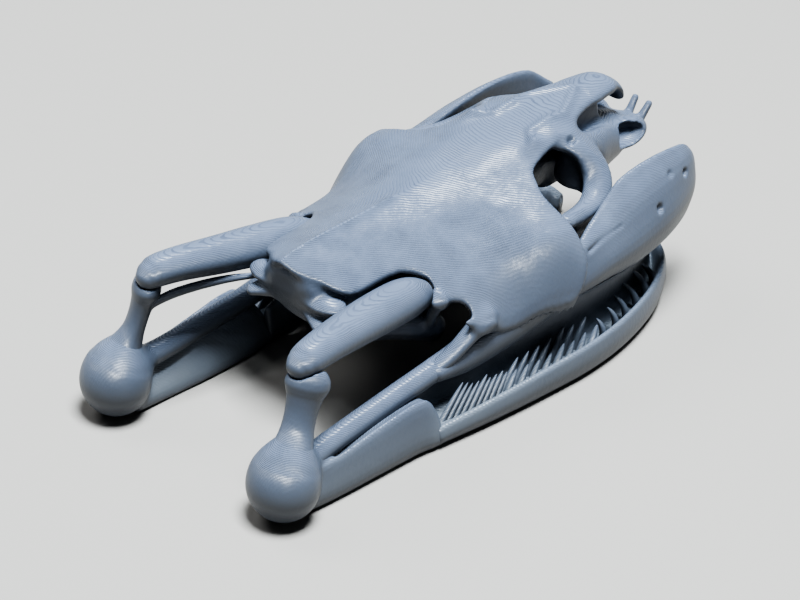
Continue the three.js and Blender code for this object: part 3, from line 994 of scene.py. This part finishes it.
    def build(self) -> list[bpy.types.Object]:
        """Builds the cranium.

        Returns:
            The finished piece, in a list.
        """
        block = Field(self.low, self.high, grid_step(GRID_STEP))
        self._add_body(block, self.body, fillet=1.2)
        self._add_body(block, self.snout_floor, fillet=1.0)
        self._add_roof(block, fillet=0.8)
        block.bar(self.nasal_hood, fillet=0.8)
        for points, fillet in (
            (self.arch, 1.6), (self.prong, 0.7), (self.flange, 1.2), (self.strut, 0.8),
            (self.wing_process, 1.6), (self.occiput_prong, 1.0),
            (self.arch_wall, 0.8), (self.snout_side, 2.0),
        ):
            block.bar(points, fillet=fillet)
            block.bar(mirrored_points(points), fillet=fillet)
        for sign in (1, -1):
            for centre, radii, fillet, hollow in (
                (self.cup_centre, self.cup_radii, 0.8, False),
                (self.ledge_centre, self.ledge_radii, 0.7, False),
                (self.cup_hollow_centre, self.cup_hollow_radii, 0.3, True),
                (self.pit_centre, self.pit_radii, 0.3, True),
            ):
                block.ball(along_x(centre, sign), radii, fillet=fillet, cut=hollow)
            bed = [along_x(row, sign) for row in grown(Bars.supratemporal, self.bed_gap)]
            block.bar(bed, fillet=0.2, cut=True)
        return [self.skin(block, "cranium")]

    def _add_body(self, block: Field, rows: tuple[Point, ...], fillet: float) -> None:
        """Adds a round body along the midline.

        Args:
            block: The field.
            rows: Rows of y, half width, low and high.
            fillet: Radius where it joins what is there.
        """
        ends = [rows[-1][0], rows[0][0]]
        widest = max(row[1] for row in rows)

        def distance(x: np.ndarray, y: np.ndarray, z: np.ndarray) -> np.ndarray:
            """Measures the distance to the body.

            Args:
                x: Open grid of x.
                y: Open grid of y.
                z: Open grid of z.

            Returns:
                The distances, negative inside.
            """
            half = spread(rows, y, 1)
            low, high = spread(rows, y, 2), spread(rows, y, 3)
            reach = (high - low) / 2
            smaller = np.minimum(half, reach)
            scaled = np.sqrt((x / half) ** 2 + ((z - (low + high) / 2) / reach) ** 2)
            past_ends = np.maximum(ends[0] - y, y - ends[1])
            return blend_max((scaled - 1) * smaller, past_ends, 1.0)

        lowest = min(row[2] for row in rows)
        highest = max(row[3] for row in rows)
        block.add(distance, (-widest, ends[0], lowest), (widest, ends[1], highest), fillet)

    def _add_roof(self, block: Field, fillet: float) -> None:
        """Adds the roof sheet with its rounded edges.

        Args:
            block: The field.
            fillet: Radius where it joins what is there.
        """
        half = smooth_curve([(*point, 0) for point in self.outline], step=0.5)[:, :2]
        outline = np.vstack([half, half[1:-1][::-1] * (-1, 1)])

        def distance(x: np.ndarray, y: np.ndarray, z: np.ndarray) -> np.ndarray:
            """Measures the distance to the sheet.

            Args:
                x: Open grid of x.
                y: Open grid of y.
                z: Open grid of z.

            Returns:
                The distances, negative inside.
            """
            height = self.roof_height(x, y) + self.relief(x, y)
            slope_x = np.gradient(height[:, :, 0], block.step, axis=0)
            slope_y = np.gradient(height[:, :, 0], block.step, axis=1)
            steep = np.sqrt(1 + slope_x**2 + slope_y**2)[:, :, None]
            edge = outline_distance(x, y, outline)
            inwards = np.clip(-edge / self.edge_taper, 0, 1)
            more = self.half_thickness - self.edge_half_thickness
            half_sheet = self.edge_half_thickness + more * inwards
            middle = height - half_sheet * steep
            sheet = np.abs(z - middle) / steep - half_sheet
            return blend_max(sheet, edge, self.edge_rounding)

        block.add(distance, (-24, -43, 10), (24, 29, 31), fillet)


@dataclass
class Bars(Bone):
    """The plain bars. A row is x, y, z, half width and half height."""

    supratemporal: tuple[Point, ...] = (
        (14.1, 37.6, 20.7, 1.8, 1.6), (14.05, 36.2, 21.1, 2.4, 2.1), (13.4, 32.5, 21.0, 2.7, 2.25),
        (12.3, 26.5, 20.3, 3.0, 2.5), (11.4, 20.5, 19.6, 3.2, 2.7), (10.6, 14.5, 18.8, 3.1, 2.7),
        (10, 10.8, 18, 2.4, 2.0),
    )
    quadrate: tuple[Point, ...] = (
        (15.1, 36.8, 18.9, 2.75, 1.85), (15.1, 37, 18.2, 3.0, 2.0), (15.2, 37.5, 16.8, 2.45, 1.6),
        (15.3, 38.2, 14.6, 2.15, 1.45), (15.5, 39, 12.4, 2.2, 1.55), (15.8, 39.9, 10.4, 2.6, 2.1),
        (16.1, 41, 8.4, 3.3, 3),
    )
    quadrate_facing: Point = (0.66, 0.75, 0)
    seam: float = 0.16
    stapes: tuple[Point, ...] = (
        (15, 37.4, 15.2, 1.1, 1.2), (14.6, 36.6, 15.7, 0.62, 0.66), (13, 33.4, 17, 0.66, 0.66),
        (10.6, 28, 17.6, 0.6, 0.6), (8, 22.4, 17.4, 0.4, 0.4),
    )
    ectopterygoid: tuple[Point, ...] = (
        (15.9, 12.8, 9.1, 1.5, 1.5), (16.6, 8, 9.1, 1.2, 2), (17.3, 3.6, 9.9, 1, 2.2),
        (18.2, -2, 11.3, 0.9, 2.2), (18.9, -7, 12.8, 0.8, 2), (19.2, -12, 13.8, 0.8, 1.8),
    )
    pterygoid: tuple[Point, ...] = (
        (16, 38.4, 6.5, 1.8, 1.8), (15.5, 34.5, 6.8, 1.7, 1.6), (15.3, 28, 7.4, 1.65, 1.6),
        (15.2, 20, 8.2, 1.65, 1.6), (15.3, 13, 9, 1.7, 1.6), (14.8, 5, 9.5, 2.2, 1.2),
        (12, -3, 9.4, 2.8, 0.9), (9.6, -12, 10.2, 2.6, 0.9), (7.8, -22, 12, 2.2, 0.9),
        (6.4, -32, 14.2, 1.6, 0.8),
    )

    def build(self, side: Side) -> list[bpy.types.Object]:
        """Builds the bars of one side.

        Args:
            side: The side.

        Returns:
            The finished pieces.
        """
        made = []
        for name in ("supratemporal", "quadrate", "stapes", "ectopterygoid", "pterygoid"):
            points = getattr(self, name)
            rows = np.array(points)
            reach = rows[:, 3:].max() + 1.5
            low, high = rows[:, :3].min(0) - reach, rows[:, :3].max(0) + reach
            block = Field(tuple(low), tuple(high), grid_step(FINE_STEP))
            if name == "quadrate":
                block.bar(points, fillet=0, facing=self.quadrate_facing)
                block.bar(grown(self.supratemporal, self.seam), fillet=0.2, cut=True)
            else:
                block.bar(points, fillet=0)
            made.append(self.skin(block, f"{name}_{side.label}", side.sign))
        return made


@dataclass
class Jaw(Bone):
    """A bone that follows a plan line along its outer side, with a closed section at each station.

    A station is its plan point and the section's corners as inset and height. Samples are the points that
    the line gets for each station, and reach is how far from the line a section may go.
    """

    samples: int = 10
    reach: float = 9.0
    corner_cut: float = 0.2

    def section_field(
        self, block: Field, stations: Sequence[Station], fillet: float, cap: float = 0.6
    ) -> None:
        """Adds the bone's body to a field.

        Args:
            block: The field.
            stations: The stations from back to front.
            fillet: Radius where it joins what is there.
            cap: Rounding of its two ends.
        """
        line = np.array([station[0] for station in stations], dtype=float)
        rings = np.array([station[1] for station in stations], dtype=float)
        t = np.arange((len(line) - 1) * self.samples + 1) / self.samples
        packed = np.hstack([line, np.zeros((len(line), 1)), rings.reshape(len(line), -1)])
        rows = self._resample(packed, t)
        path, sections = rows[:, :2], rows[:, 3:].reshape(len(rows), -1, 2)
        low = np.append((path - self.reach).min(0), rings[:, :, 1].min())
        high = np.append((path + self.reach).max(0), rings[:, :, 1].max())
        numbers = np.arange(len(path))

        def distance(x: np.ndarray, y: np.ndarray, z: np.ndarray) -> np.ndarray:
            """Measures the distance to the bone's body.

            Args:
                x: Open grid of x.
                y: Open grid of y.
                z: Open grid of z.

            Returns:
                The distances, negative inside.
            """
            share, inset, over = self._plan_place(x, y, path)
            ring = np.stack([
                np.stack([np.interp(share, numbers, sections[:, corner, axis]) for axis in (0, 1)])
                for corner in range(sections.shape[1])
            ])
            flat = self._section_distance(inset, z, self._rounded(ring))
            return blend_max(flat, over, cap)

        block.add(distance, tuple(low), tuple(high), fillet)

    @staticmethod
    def _resample(rows: np.ndarray, t: np.ndarray) -> np.ndarray:
        """Reads rows at places between them, along a smooth curve.

        Args:
            rows: The rows.
            t: Places, counted in rows.

        Returns:
            The rows there.
        """
        padded = np.vstack([2 * rows[0] - rows[1], rows, 2 * rows[-1] - rows[-2]])
        index = np.clip(t.astype(int), 0, len(rows) - 2)
        u = (t - index)[:, None]
        return catmull_rom([padded[index + n] for n in range(4)], u)

    @staticmethod
    def _plan_place(
        x: np.ndarray, y: np.ndarray, path: np.ndarray
    ) -> tuple[np.ndarray, np.ndarray, np.ndarray]:
        """Finds where each place lies along the plan line.

        Args:
            x: Open grid of x.
            y: Open grid of y.
            path: Points of the line.

        Returns:
            The share along the line, the inset from it and how far the place is past its ends.
        """
        px, py = np.broadcast_arrays(x[:, :, 0], y[:, :, 0])
        best = np.full(px.shape, FAR * FAR)
        share = np.zeros(px.shape)
        inset = np.zeros(px.shape)
        over = np.full(px.shape, -FAR)
        last = len(path) - 2
        for index, (start, end) in enumerate(zip(path[:-1], path[1:])):
            span = end - start
            length = np.hypot(*span)
            along = span / length
            reach = (px - start[0]) * along[0] + (py - start[1]) * along[1]
            t = np.clip(reach / length, 0, 1)
            dx, dy = px - start[0] - t * span[0], py - start[1] - t * span[1]
            squared = dx**2 + dy**2
            nearer = squared < best
            best = np.where(nearer, squared, best)
            share = np.where(nearer, index + t, share)
            side = (px - start[0]) * along[1] - (py - start[1]) * along[0]
            inset = np.where(nearer, side, inset)
            ends = np.full(px.shape, -FAR)
            if index == 0:
                ends = np.maximum(ends, -reach)
            if index == last:
                ends = np.maximum(ends, reach - length)
            over = np.where(nearer, ends, over)
        return share, inset[:, :, None], over[:, :, None]

    def _rounded(self, ring: np.ndarray, rounds: int = 2) -> np.ndarray:
        """Cuts the corners of a section until it is a smooth closed line.

        Args:
            ring: The corners.
            rounds: How often they are cut.

        Returns:
            The new corners.
        """
        near, far = 1 - self.corner_cut, self.corner_cut
        for _ in range(rounds):
            ahead = np.roll(ring, -1, axis=0)
            first, second = near * ring + far * ahead, far * ring + near * ahead
            ring = np.stack([first, second], axis=1).reshape(-1, *ring.shape[1:])
        return ring

    @staticmethod
    def _section_distance(inset: np.ndarray, z: np.ndarray, ring: np.ndarray) -> np.ndarray:
        """Measures the distance to the section's line.

        Args:
            inset: Inset of each place in plan.
            z: Open grid of z.
            ring: The section's corners at each place in plan.

        Returns:
            The distances, negative inside.
        """
        nearest = np.full(np.broadcast(inset, z).shape, FAR * FAR, dtype=np.float32)
        inside = np.zeros(nearest.shape, dtype=bool)
        for here, ahead in zip(ring, np.roll(ring, -1, axis=0)):
            ax, az = here[0][:, :, None], here[1][:, :, None]
            ex, ez = ahead[0][:, :, None] - ax, ahead[1][:, :, None] - az
            length = np.maximum(ex**2 + ez**2, TINY)
            t = np.clip(((inset - ax) * ex + (z - az) * ez) / length, 0, 1)
            nearest = np.minimum(nearest, (inset - ax - t * ex) ** 2 + (z - az - t * ez) ** 2)
            rise = np.where(np.abs(ez) < TINY, TINY, ez)
            inside ^= ((az > z) != (az + ez > z)) & (inset < ex * (z - az) / rise + ax)
        distance = np.sqrt(nearest)
        return np.where(inside, -distance, distance)


@dataclass
class Maxilla(Jaw):
    """The tall smooth upper jaw blade. A pit is x, y, z, radius and depth."""

    low: Point = (8, -48, 9)
    high: Point = (24, -5, 27)
    stations: tuple[Station, ...] = (
        ((20.2, -6.4), ((0.6, 11.8), (0.4, 13), (1.2, 14.8), (2.2, 15.2), (2.6, 14), (1.8, 11.8))),
        ((20.8, -12.6), ((0.3, 12.6), (0, 14.8), (1.6, 19), (3, 19.7), (3.4, 16.8), (2.2, 12.6))),
        ((20.6, -18), ((0.2, 12.4), (-0.3, 15.6), (1.8, 19.8), (4.6, 21.2), (4.6, 18), (2.6, 12.4))),
        ((20.4, -25), ((0.4, 11.8), (-0.2, 16), (2.2, 21.4), (6, 24), (5.4, 19.6), (2.8, 12))),
        ((19.2, -33), ((0.4, 12), (-0.4, 16.6), (1.6, 22), (5, 24.8), (5, 20), (2.8, 12.2))),
        ((16.6, -40.4), ((0.6, 12), (-0.4, 16.6), (0.6, 21.8), (2.8, 23.8), (3.6, 19), (2.6, 12.2))),
        ((13.2, -44.2), ((0.8, 13), (0, 15.6), (0.2, 19), (1.2, 20.8), (2.2, 17.6), (2, 13.2))),
    )
    pits: tuple[Point, ...] = (
        (17.6, -33.5, 22.1, 0.7, 0.75), (17.2, -37, 20.6, 0.6, 0.65), (19.3, -29.3, 18.7, 0.75, 0.7),
    )
    groove: tuple[Point, ...] = (
        (19.4, -13.6, 18.4, 0.25, 0.25), (19.3, -17.1, 19.2, 0.3, 0.3), (19.2, -20.8, 19.4, 0.25, 0.25),
    )

    def build(self, side: Side) -> list[bpy.types.Object]:
        """Builds one maxilla.

        Args:
            side: The side.

        Returns:
            The finished piece, in a list.
        """
        block = Field(self.low, self.high, grid_step(FINE_STEP))
        self.section_field(block, self.stations, fillet=0.5, cap=1.4)
        for x, y, z, radius, depth in self.pits:
            block.ball((x, y, z), (radius, depth, radius), fillet=0.25, cut=True)
        block.bar(self.groove, fillet=0.3, cut=True)
        return [self.skin(block, f"maxilla_{side.label}", side.sign)]


@dataclass
class Compound(Jaw):
    """The back half of a lower jaw, with the ball of the joint."""

    low: Point = (9, 13, -1.5)
    high: Point = (24, 49, 13)
    stations: tuple[Station, ...] = (
        ((18.6, 41), ((0.6, 0.2), (0, 2.6), (1, 5.6), (2.2, 5), (4.6, 4.6), (5.8, 2.2), (5.6, 0.2))),
        ((19.2, 35), ((0.8, 0), (0.1, 1.8), (1.2, 6.6), (2.4, 5.2), (4.4, 4.2), (6.2, 2), (6.4, 0))),
        ((19.6, 27), ((0.8, 0), (0, 1.8), (1.3, 7.6), (2.6, 6.8), (4.8, 6.4), (7, 2), (7.2, 0))),
        ((20, 20), ((0.8, 0), (0, 2), (1.4, 8.5), (2.8, 7.4), (5.2, 7), (7.4, 2.2), (7.6, 0))),
        ((20.4, 17.2), ((0.8, 0), (0, 1.8), (1.6, 7.6), (3, 7), (5.4, 6.4), (7.6, 2.2), (7.8, 0))),
        ((20.6, 15.4), ((0.8, 0), (0, 1.6), (1.6, 4.6), (3, 4.6), (5.4, 4.4), (7.8, 2), (8, 0))),
    )
    ball_centre: Point = (16.0, 41.8, 5.3)
    ball_radii: Point = (4.95, 4.85, 5.15)
    neck: tuple[Point, ...] = (
        (15.8, 39.7, 10.9, 2.1, 1.5), (15.9, 40.4, 9.4, 2.8, 2.3), (16.0, 41.2, 7.6, 3.4, 3.2),
    )
    neck_facing: Point = (0.66, 0.75, 0)
    web: tuple[Point, ...] = (
        (15.8, 41, 6.6, 2.6, 2.4), (15.6, 37, 6.7, 1.8, 1.7), (15.5, 34.6, 6.8, 1.4, 1.3),
    )

    def build(self, side: Side) -> list[bpy.types.Object]:
        """Builds one compound bone.

        Args:
            side: The side.

        Returns:
            The finished piece, in a list.
        """
        block = Field(self.low, self.high, grid_step(FINE_STEP))
        self.section_field(block, self.stations, fillet=0.5)
        block.ball(self.ball_centre, self.ball_radii, fillet=0.7)
        block.bar(self.neck, fillet=2.2, facing=self.neck_facing)
        block.bar(self.web, fillet=1.6)
        return [self.skin(block, f"compound_{side.label}", side.sign)]


@dataclass
class Dentary(Jaw):
    """The front half of a lower jaw: a trough with two rows of teeth.

    A trough row is its plan point, the outer rim's height, the width and the inner wall's height.
    """

    low: Point = (3, -48, -1.5)
    high: Point = (26, 18, 11)
    trough: tuple[tuple[Point, float, float, float], ...] = (
        ((20.5, 16.6), 3.4, 8, 6), ((21.8, 7), 4.2, 8, 7.8), ((22.7, -3), 4.9, 7.6, 9.2),
        ((23.1, -13), 5.3, 7.2, 9.8), ((22.1, -22), 5.5, 6.6, 9.2), ((19.6, -30.6), 5.5, 5.8, 8),
        ((15.6, -37.6), 5.2, 4.8, 6.4), ((11.2, -41.8), 4.4, 3.8, 4.8), ((8.6, -43), 3.2, 2.8, 3.4),
    )

    def stations(self) -> list[Station]:
        """Draws the trough's section at each row, from the outer foot round to the inner one.

        Returns:
            The stations.
        """
        rows = []
        for place, rim, width, wall in self.trough:
            rows.append((place, (
                (1.2, 0), (0.2, 1.2), (0, rim * 0.6), (0.4, rim), (1.3, rim), (2, 2.4),
                (width - 2, 2.6), (width - 1.7, wall), (width - 0.7, wall), (width, 2),
                (width - 0.4, 0),
            )))
        return rows

    def build(self, side: Side) -> list[bpy.types.Object]:
        """Builds one dentary.

        Args:
            side: The side.

        Returns:
            The finished piece, in a list.
        """
        block = Field(self.low, self.high, grid_step(FINE_STEP))
        self.section_field(block, self.stations(), fillet=0.5)
        return [self.skin(block, f"dentary_{side.label}", side.sign)]


@dataclass(frozen=True)
class ToothRow:
    """One row of teeth on a left bone."""

    bone: str
    count: int
    bend: float
    keys: tuple[Point, ...]

    def places(self) -> np.ndarray:
        """Spaces the teeth evenly along the row.

        Returns:
            Rows of the base x, y, z, the way from base to tip, and the thickness.
        """
        rows = smooth_curve(self.keys)
        steps = np.linalg.norm(np.diff(rows[:, :3], axis=0), axis=1)
        along = np.concatenate([[0], np.cumsum(steps)])
        wanted = np.linspace(0, along[-1], self.count)
        return np.stack([np.interp(wanted, along, column) for column in rows.T], axis=1)


class ToothTree:
    """The Geometry Nodes tree that grows one curved tooth on each point of a row."""

    SIDES = 10
    RINGS = 9
    LENGTH = 7.0
    BLUNT = 1.5
    TIP = 0.14
    VARIATION = 0.07
    SEED = 7

    def __init__(self, material: bpy.types.Material) -> None:
        """Builds the tree.

        Args:
            material: The finish of the teeth.
        """
        self.material = material
        self.tree = bpy.data.node_groups.new("tooth_row", "GeometryNodeTree")
        self.board = NodeBoard(self.tree)
        face = self.tree.interface
        face.new_socket("Geometry", in_out="INPUT", socket_type="NodeSocketGeometry")
        for name, kind in (
            ("Bend", "NodeSocketFloat"), ("Bluntness", "NodeSocketFloat"),
            ("Tip", "NodeSocketFloat"), ("Length", "NodeSocketFloat"),
            ("Variation", "NodeSocketFloat"),
            ("Seed", "NodeSocketInt"), ("Sides", "NodeSocketInt"), ("Rings", "NodeSocketInt"),
            ("Finish", "NodeSocketMaterial"),
        ):
            face.new_socket(name, in_out="INPUT", socket_type=kind)
        face.new_socket("Geometry", in_out="OUTPUT", socket_type="NodeSocketGeometry")
        self._wire()

    def _wire(self) -> None:
        """Adds and links the tree's nodes."""
        board = self.board
        link = board.link
        entry = board.add("NodeGroupInput").outputs
        middle = board.add("ShaderNodeCombineXYZ")
        link(board.math("MULTIPLY", entry["Bend"], -1.0), middle.inputs["Y"])
        link(board.math("MULTIPLY", entry["Length"], 0.5), middle.inputs["Z"])
        top = board.add("ShaderNodeCombineXYZ")
        link(entry["Length"], top.inputs["Z"])
        spine = board.add("GeometryNodeCurveQuadraticBezier")
        spine.inputs["Start"].default_value = (0, 0, 0)
        link(top.outputs[0], spine.inputs["End"])
        link(entry["Rings"], spine.inputs["Resolution"])
        link(middle.outputs[0], spine.inputs["Middle"])
        share = board.add("GeometryNodeSplineParameter").outputs["Factor"]
        fallen = board.math("POWER", share, entry["Bluntness"])
        taper = board.math("SQRT", board.math("SUBTRACT", 1.0, fallen))
        thickness = board.math("MAXIMUM", taper, entry["Tip"])
        ring = board.add("GeometryNodeCurvePrimitiveCircle")
        ring.inputs["Radius"].default_value = 1.0
        link(entry["Sides"], ring.inputs["Resolution"])
        tooth = board.add("GeometryNodeCurveToMesh")
        tooth.inputs["Fill Caps"].default_value = True
        link(spine.outputs["Curve"], tooth.inputs["Curve"])
        link(thickness, tooth.inputs["Scale"])
        link(ring.outputs["Curve"], tooth.inputs["Profile Curve"])
        turn = self._attribute("turn")
        size = self._attribute("size")
        change = board.add("FunctionNodeRandomValue", data_type="FLOAT")
        link(board.math("SUBTRACT", 1.0, entry["Variation"]), change.inputs[2])
        link(board.math("ADD", 1.0, entry["Variation"]), change.inputs[3])
        link(entry["Seed"], change.inputs["Seed"])
        varied = board.add("ShaderNodeVectorMath", operation="SCALE")
        link(size, varied.inputs[0])
        link(change.outputs[1], varied.inputs["Scale"])
        rotate = board.add("FunctionNodeEulerToRotation")
        link(turn, rotate.inputs[0])
        planted = board.add("GeometryNodeInstanceOnPoints")
        link(entry["Geometry"], planted.inputs["Points"])
        link(tooth.outputs["Mesh"], planted.inputs["Instance"])
        link(rotate.outputs[0], planted.inputs["Rotation"])
        link(varied.outputs[0], planted.inputs["Scale"])
        real = board.add("GeometryNodeRealizeInstances")
        link(planted.outputs[0], real.inputs[0])
        smooth = board.add("GeometryNodeSetShadeSmooth")
        link(real.outputs[0], smooth.inputs[0])
        dressed = board.add("GeometryNodeSetMaterial")
        link(smooth.outputs[0], dressed.inputs["Geometry"])
        link(entry["Finish"], dressed.inputs["Material"])
        link(dressed.outputs[0], board.add("NodeGroupOutput").inputs[0])

    def _attribute(self, name: str) -> bpy.types.NodeSocket:
        """Reads a vector that is stored on the points.

        Args:
            name: The attribute's name.

        Returns:
            The vector.
        """
        node = self.board.add("GeometryNodeInputNamedAttribute", data_type="FLOAT_VECTOR")
        node.inputs["Name"].default_value = name
        return node.outputs[0]

    def grow(self, name: str, row: ToothRow, sign: float) -> bpy.types.Object:
        """Grows one row of teeth as a plain mesh.

        Args:
            name: The object's name.
            row: The row.
            sign: -1 for the animal's right side.

        Returns:
            The new object.
        """
        rows = row.places()
        bases, tips, thick = rows[:, :3] * (sign, 1, 1), rows[:, 3:6] * (sign, 1, 1), rows[:, 6]
        bases = (bases + (0, MIDDLE_SHIFT, 0)) * MM
        lengths = np.linalg.norm(tips, axis=1)
        tilt = np.arccos(tips[:, 2] / lengths)
        yaw = np.arctan2(-tips[:, 0], tips[:, 1])
        mesh = bpy.data.meshes.new(name)
        mesh.from_pydata(bases.tolist(), [], [])
        turns = np.stack([-tilt, np.zeros_like(tilt), yaw], axis=1)
        sizes = np.stack([thick, thick, lengths / self.LENGTH], axis=1) * MM
        for label, values in (("turn", turns), ("size", sizes)):
            data = mesh.attributes.new(label, "FLOAT_VECTOR", "POINT").data
            data.foreach_set("vector", values.astype(np.float32).ravel())
        made = bpy.data.objects.new(name, mesh)
        bpy.context.collection.objects.link(made)
        modifier = made.modifiers.new("teeth", "NODES")
        modifier.node_group = self.tree
        settings = {
            "Bend": row.bend, "Bluntness": self.BLUNT, "Tip": self.TIP, "Length": self.LENGTH,
            "Variation": self.VARIATION, "Seed": self.SEED, "Sides": self.SIDES,
            "Rings": self.RINGS, "Finish": self.material,
        }
        for item in self.tree.interface.items_tree:
            if item.name in settings:
                modifier[item.identifier] = settings[item.name]
        graph = bpy.context.evaluated_depsgraph_get()
        solid = bpy.data.meshes.new_from_object(made.evaluated_get(graph), depsgraph=graph)
        made.modifiers.clear()
        made.data = solid
        bpy.data.meshes.remove(mesh)
        return made


@dataclass
class Teeth(Bone):
    """All the teeth, row by row. A key is base x, y, z, the way to the tip, and the thickness."""

    rows: tuple[ToothRow, ...] = (
        ToothRow("dentary", 9, 0.3, (
            (18, 14, 1.8, 0.1, -4, 5.0, 0.46), (19.2, 9.8, 1.9, 0, -3.4, 4.9, 0.5),
            (20.1, 5.6, 2.0, -0.1, -2.8, 4.7, 0.55),
        )),
        ToothRow("dentary", 8, 0.4, (
            (20.2, 3.2, 2.0, -0.3, -2.3, 3.6, 0.56), (20.8, -4, 2.1, -0.5, -2.4, 3.5, 0.62),
            (21.3, -13, 2.2, -0.7, -2.4, 3.7, 0.68),
        )),
        ToothRow("dentary", 7, 0.4, (
            (18.9, 2.2, 2.2, 0, -2.6, 4.3, 0.5), (18.7, -6.4, 2.3, 0, -2.4, 4.4, 0.6),
            (18.9, -12.8, 2.4, 0.1, -2, 4.6, 0.64),
        )),
        ToothRow("dentary", 6, 2.2, (
            (20.6, -16.4, 2.2, -0.6, 0.4, 4.2, 0.6), (20.1, -20.4, 2.2, -1.0, 0.8, 4.4, 0.64),
            (19.3, -24.2, 2.2, -1.8, 1.3, 4.6, 0.66), (18.2, -28.4, 2.2, -2, 1.5, 4.6, 0.66),
            (16.2, -33.8, 2.0, -1.7, 1.5, 4.2, 0.62),
        )),
        ToothRow("maxilla", 15, -1.2, (
            (18.6, -13.6, 15.6, -0.3, 1.0, -2.2, 0.45), (18.2, -18, 14.2, -0.3, 1.1, -2.8, 0.52),
            (17.8, -25, 14, -0.3, 1.2, -3, 0.56), (16.6, -32.6, 14, -0.3, 1.2, -3, 0.58),
            (14.4, -39, 14, -0.2, 1.2, -3, 0.58), (12.4, -42.2, 14.6, -0.1, 1.0, -2.4, 0.5),
        )),
        ToothRow("pterygoid", 8, -1.0, (
            (13.9, 1.6, 9.4, 0, 1, -2.3, 0.44), (12, -3, 9.2, 0, 1, -2.4, 0.46),
            (9.6, -12, 10, 0, 1, -2.5, 0.48), (7.8, -22, 11.8, 0, 1, -2.5, 0.48),
            (6.6, -30.6, 13.6, 0, 1, -2.2, 0.44),
        )),
    )

    def build(self, side: Side) -> list[bpy.types.Object]:
        """Grows the teeth of one side.

        Args:
            side: The side.

        Returns:
            The finished rows.
        """
        tree = ToothTree(self.material)
        made = []
        for number, row in enumerate(self.rows, start=1):
            node = f"{row.bone}_{side.label}"
            made.append(self.finish(tree.grow(f"{node}_teeth_{number}", row, side.sign), node))
        return made


@dataclass(frozen=True)
class Panel:
    """A soft square light that faces the object, in metres and watts."""

    name: str
    place: Point
    size: float
    watts: float
    colour: Colour


@dataclass
class Studio:
    """Pale floor, soft light and the camera at the photograph's angle."""

    azimuth_deg: float = 221.5
    elevation_deg: float = 33.35
    roll_deg: float = 3.2
    focal_px: float = 2900.0
    shift_right_mm: float = -2.2
    shift_up_mm: float = -2.45
    distance_mm: float = 405.0
    aim_mm: Point = (0, MIDDLE_SHIFT, 10)
    floor_half_m: float = 3.0
    floor_colour: Colour = (0.33, 0.315, 0.29)
    floor_roughness: float = 0.9
    room_colour: Colour = (0.8, 0.87, 1.0)
    room_strength: float = 0.04
    light_aim_m: Point = (0, 0, 0.01)
    panels: tuple[Panel, ...] = (
        Panel("sky_panel", (-0.12, 0.04, 0.8), 0.28, 25.0, (0.88, 0.94, 1.0)),
        Panel("back_panel", (0.5, 0.1, 0.65), 0.4, 2.5, (0.93, 0.96, 1.0)),
    )

    def build(self) -> None:
        """Sets the scene round the object."""
        self._camera()
        self._floor()
        for panel in self.panels:
            self._light(panel)
        world = bpy.data.worlds.new("soft_room")
        world.use_nodes = True
        background = world.node_tree.nodes["Background"]
        background.inputs["Color"].default_value = (*self.room_colour, 1)
        background.inputs["Strength"].default_value = self.room_strength
        bpy.context.scene.world = world
        bpy.context.scene.view_settings.view_transform = "AgX"
        bpy.context.scene.view_settings.look = "AgX - Medium High Contrast"

    def _camera(self) -> None:
        """Places the camera."""
        angles = self.azimuth_deg, self.elevation_deg, self.roll_deg
        a, e, r = (math.radians(angle) for angle in angles)
        back = Vector((math.sin(a) * math.cos(e), -math.cos(a) * math.cos(e), math.sin(e)))
        level = Vector((0, 0, 1)).cross(back).normalized()
        upright = back.cross(level)
        right = level * math.cos(r) + upright * math.sin(r)
        up = upright * math.cos(r) - level * math.sin(r)
        place = Vector(self.aim_mm) + right * self.shift_right_mm + up * self.shift_up_mm
        place = (place + back * self.distance_mm) * MM
        data = bpy.data.cameras.new("camera")
        data.sensor_width = SENSOR_MM
        data.lens = self.focal_px / PHOTO_WIDTH_PX * SENSOR_MM
        data.clip_start = 0.01
        camera = bpy.data.objects.new("camera", data)
        turn = Matrix((right, up, back)).transposed()
        camera.matrix_world = Matrix.Translation(place) @ turn.to_4x4()
        bpy.context.collection.objects.link(camera)
        bpy.context.scene.camera = camera

    def _floor(self) -> None:
        """Lays the plain floor."""
        half = self.floor_half_m
        mesh = bpy.data.meshes.new("floor")
        corners = [(-half, -half, 0), (half, -half, 0), (half, half, 0), (-half, half, 0)]
        mesh.from_pydata(corners, [], [(0, 1, 2, 3)])
        material = bpy.data.materials.new("floor_card")
        material.use_nodes = True
        shader = material.node_tree.nodes["Principled BSDF"]
        shader.inputs["Base Color"].default_value = (*self.floor_colour, 1)
        shader.inputs["Roughness"].default_value = self.floor_roughness
        mesh.materials.append(material)
        floor = bpy.data.objects.new("floor", mesh)
        bpy.context.collection.objects.link(floor)

    def _light(self, panel: Panel) -> None:
        """Hangs one panel.

        Args:
            panel: The panel.
        """
        data = bpy.data.lights.new(panel.name, "AREA")
        data.size = panel.size
        data.energy = panel.watts
        data.color = panel.colour
        light = bpy.data.objects.new(panel.name, data)
        light.location = panel.place
        downwards = Vector(self.light_aim_m) - Vector(panel.place)
        light.rotation_euler = downwards.to_track_quat("-Z", "Y").to_euler()
        bpy.context.collection.objects.link(light)


def report(pieces: list[bpy.types.Object]) -> None:
    """Reports each piece of a sub-assembly.

    Args:
        pieces: The pieces.
    """
    for piece in pieces:
        LOG.info("%s: %d faces", piece.name, len(piece.data.polygons))


def main() -> None:
    """Builds the skull and its scene."""
    logging.basicConfig(level=logging.INFO)
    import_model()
    material = PrintedBone().build()
    Studio().build()
    report(Cranium(material).build())
    for side in Side:
        for assembly in (Bars, Maxilla, Compound, Dentary, Teeth):
            report(assembly(material).build(side))


if __name__ == "__main__":
    main()
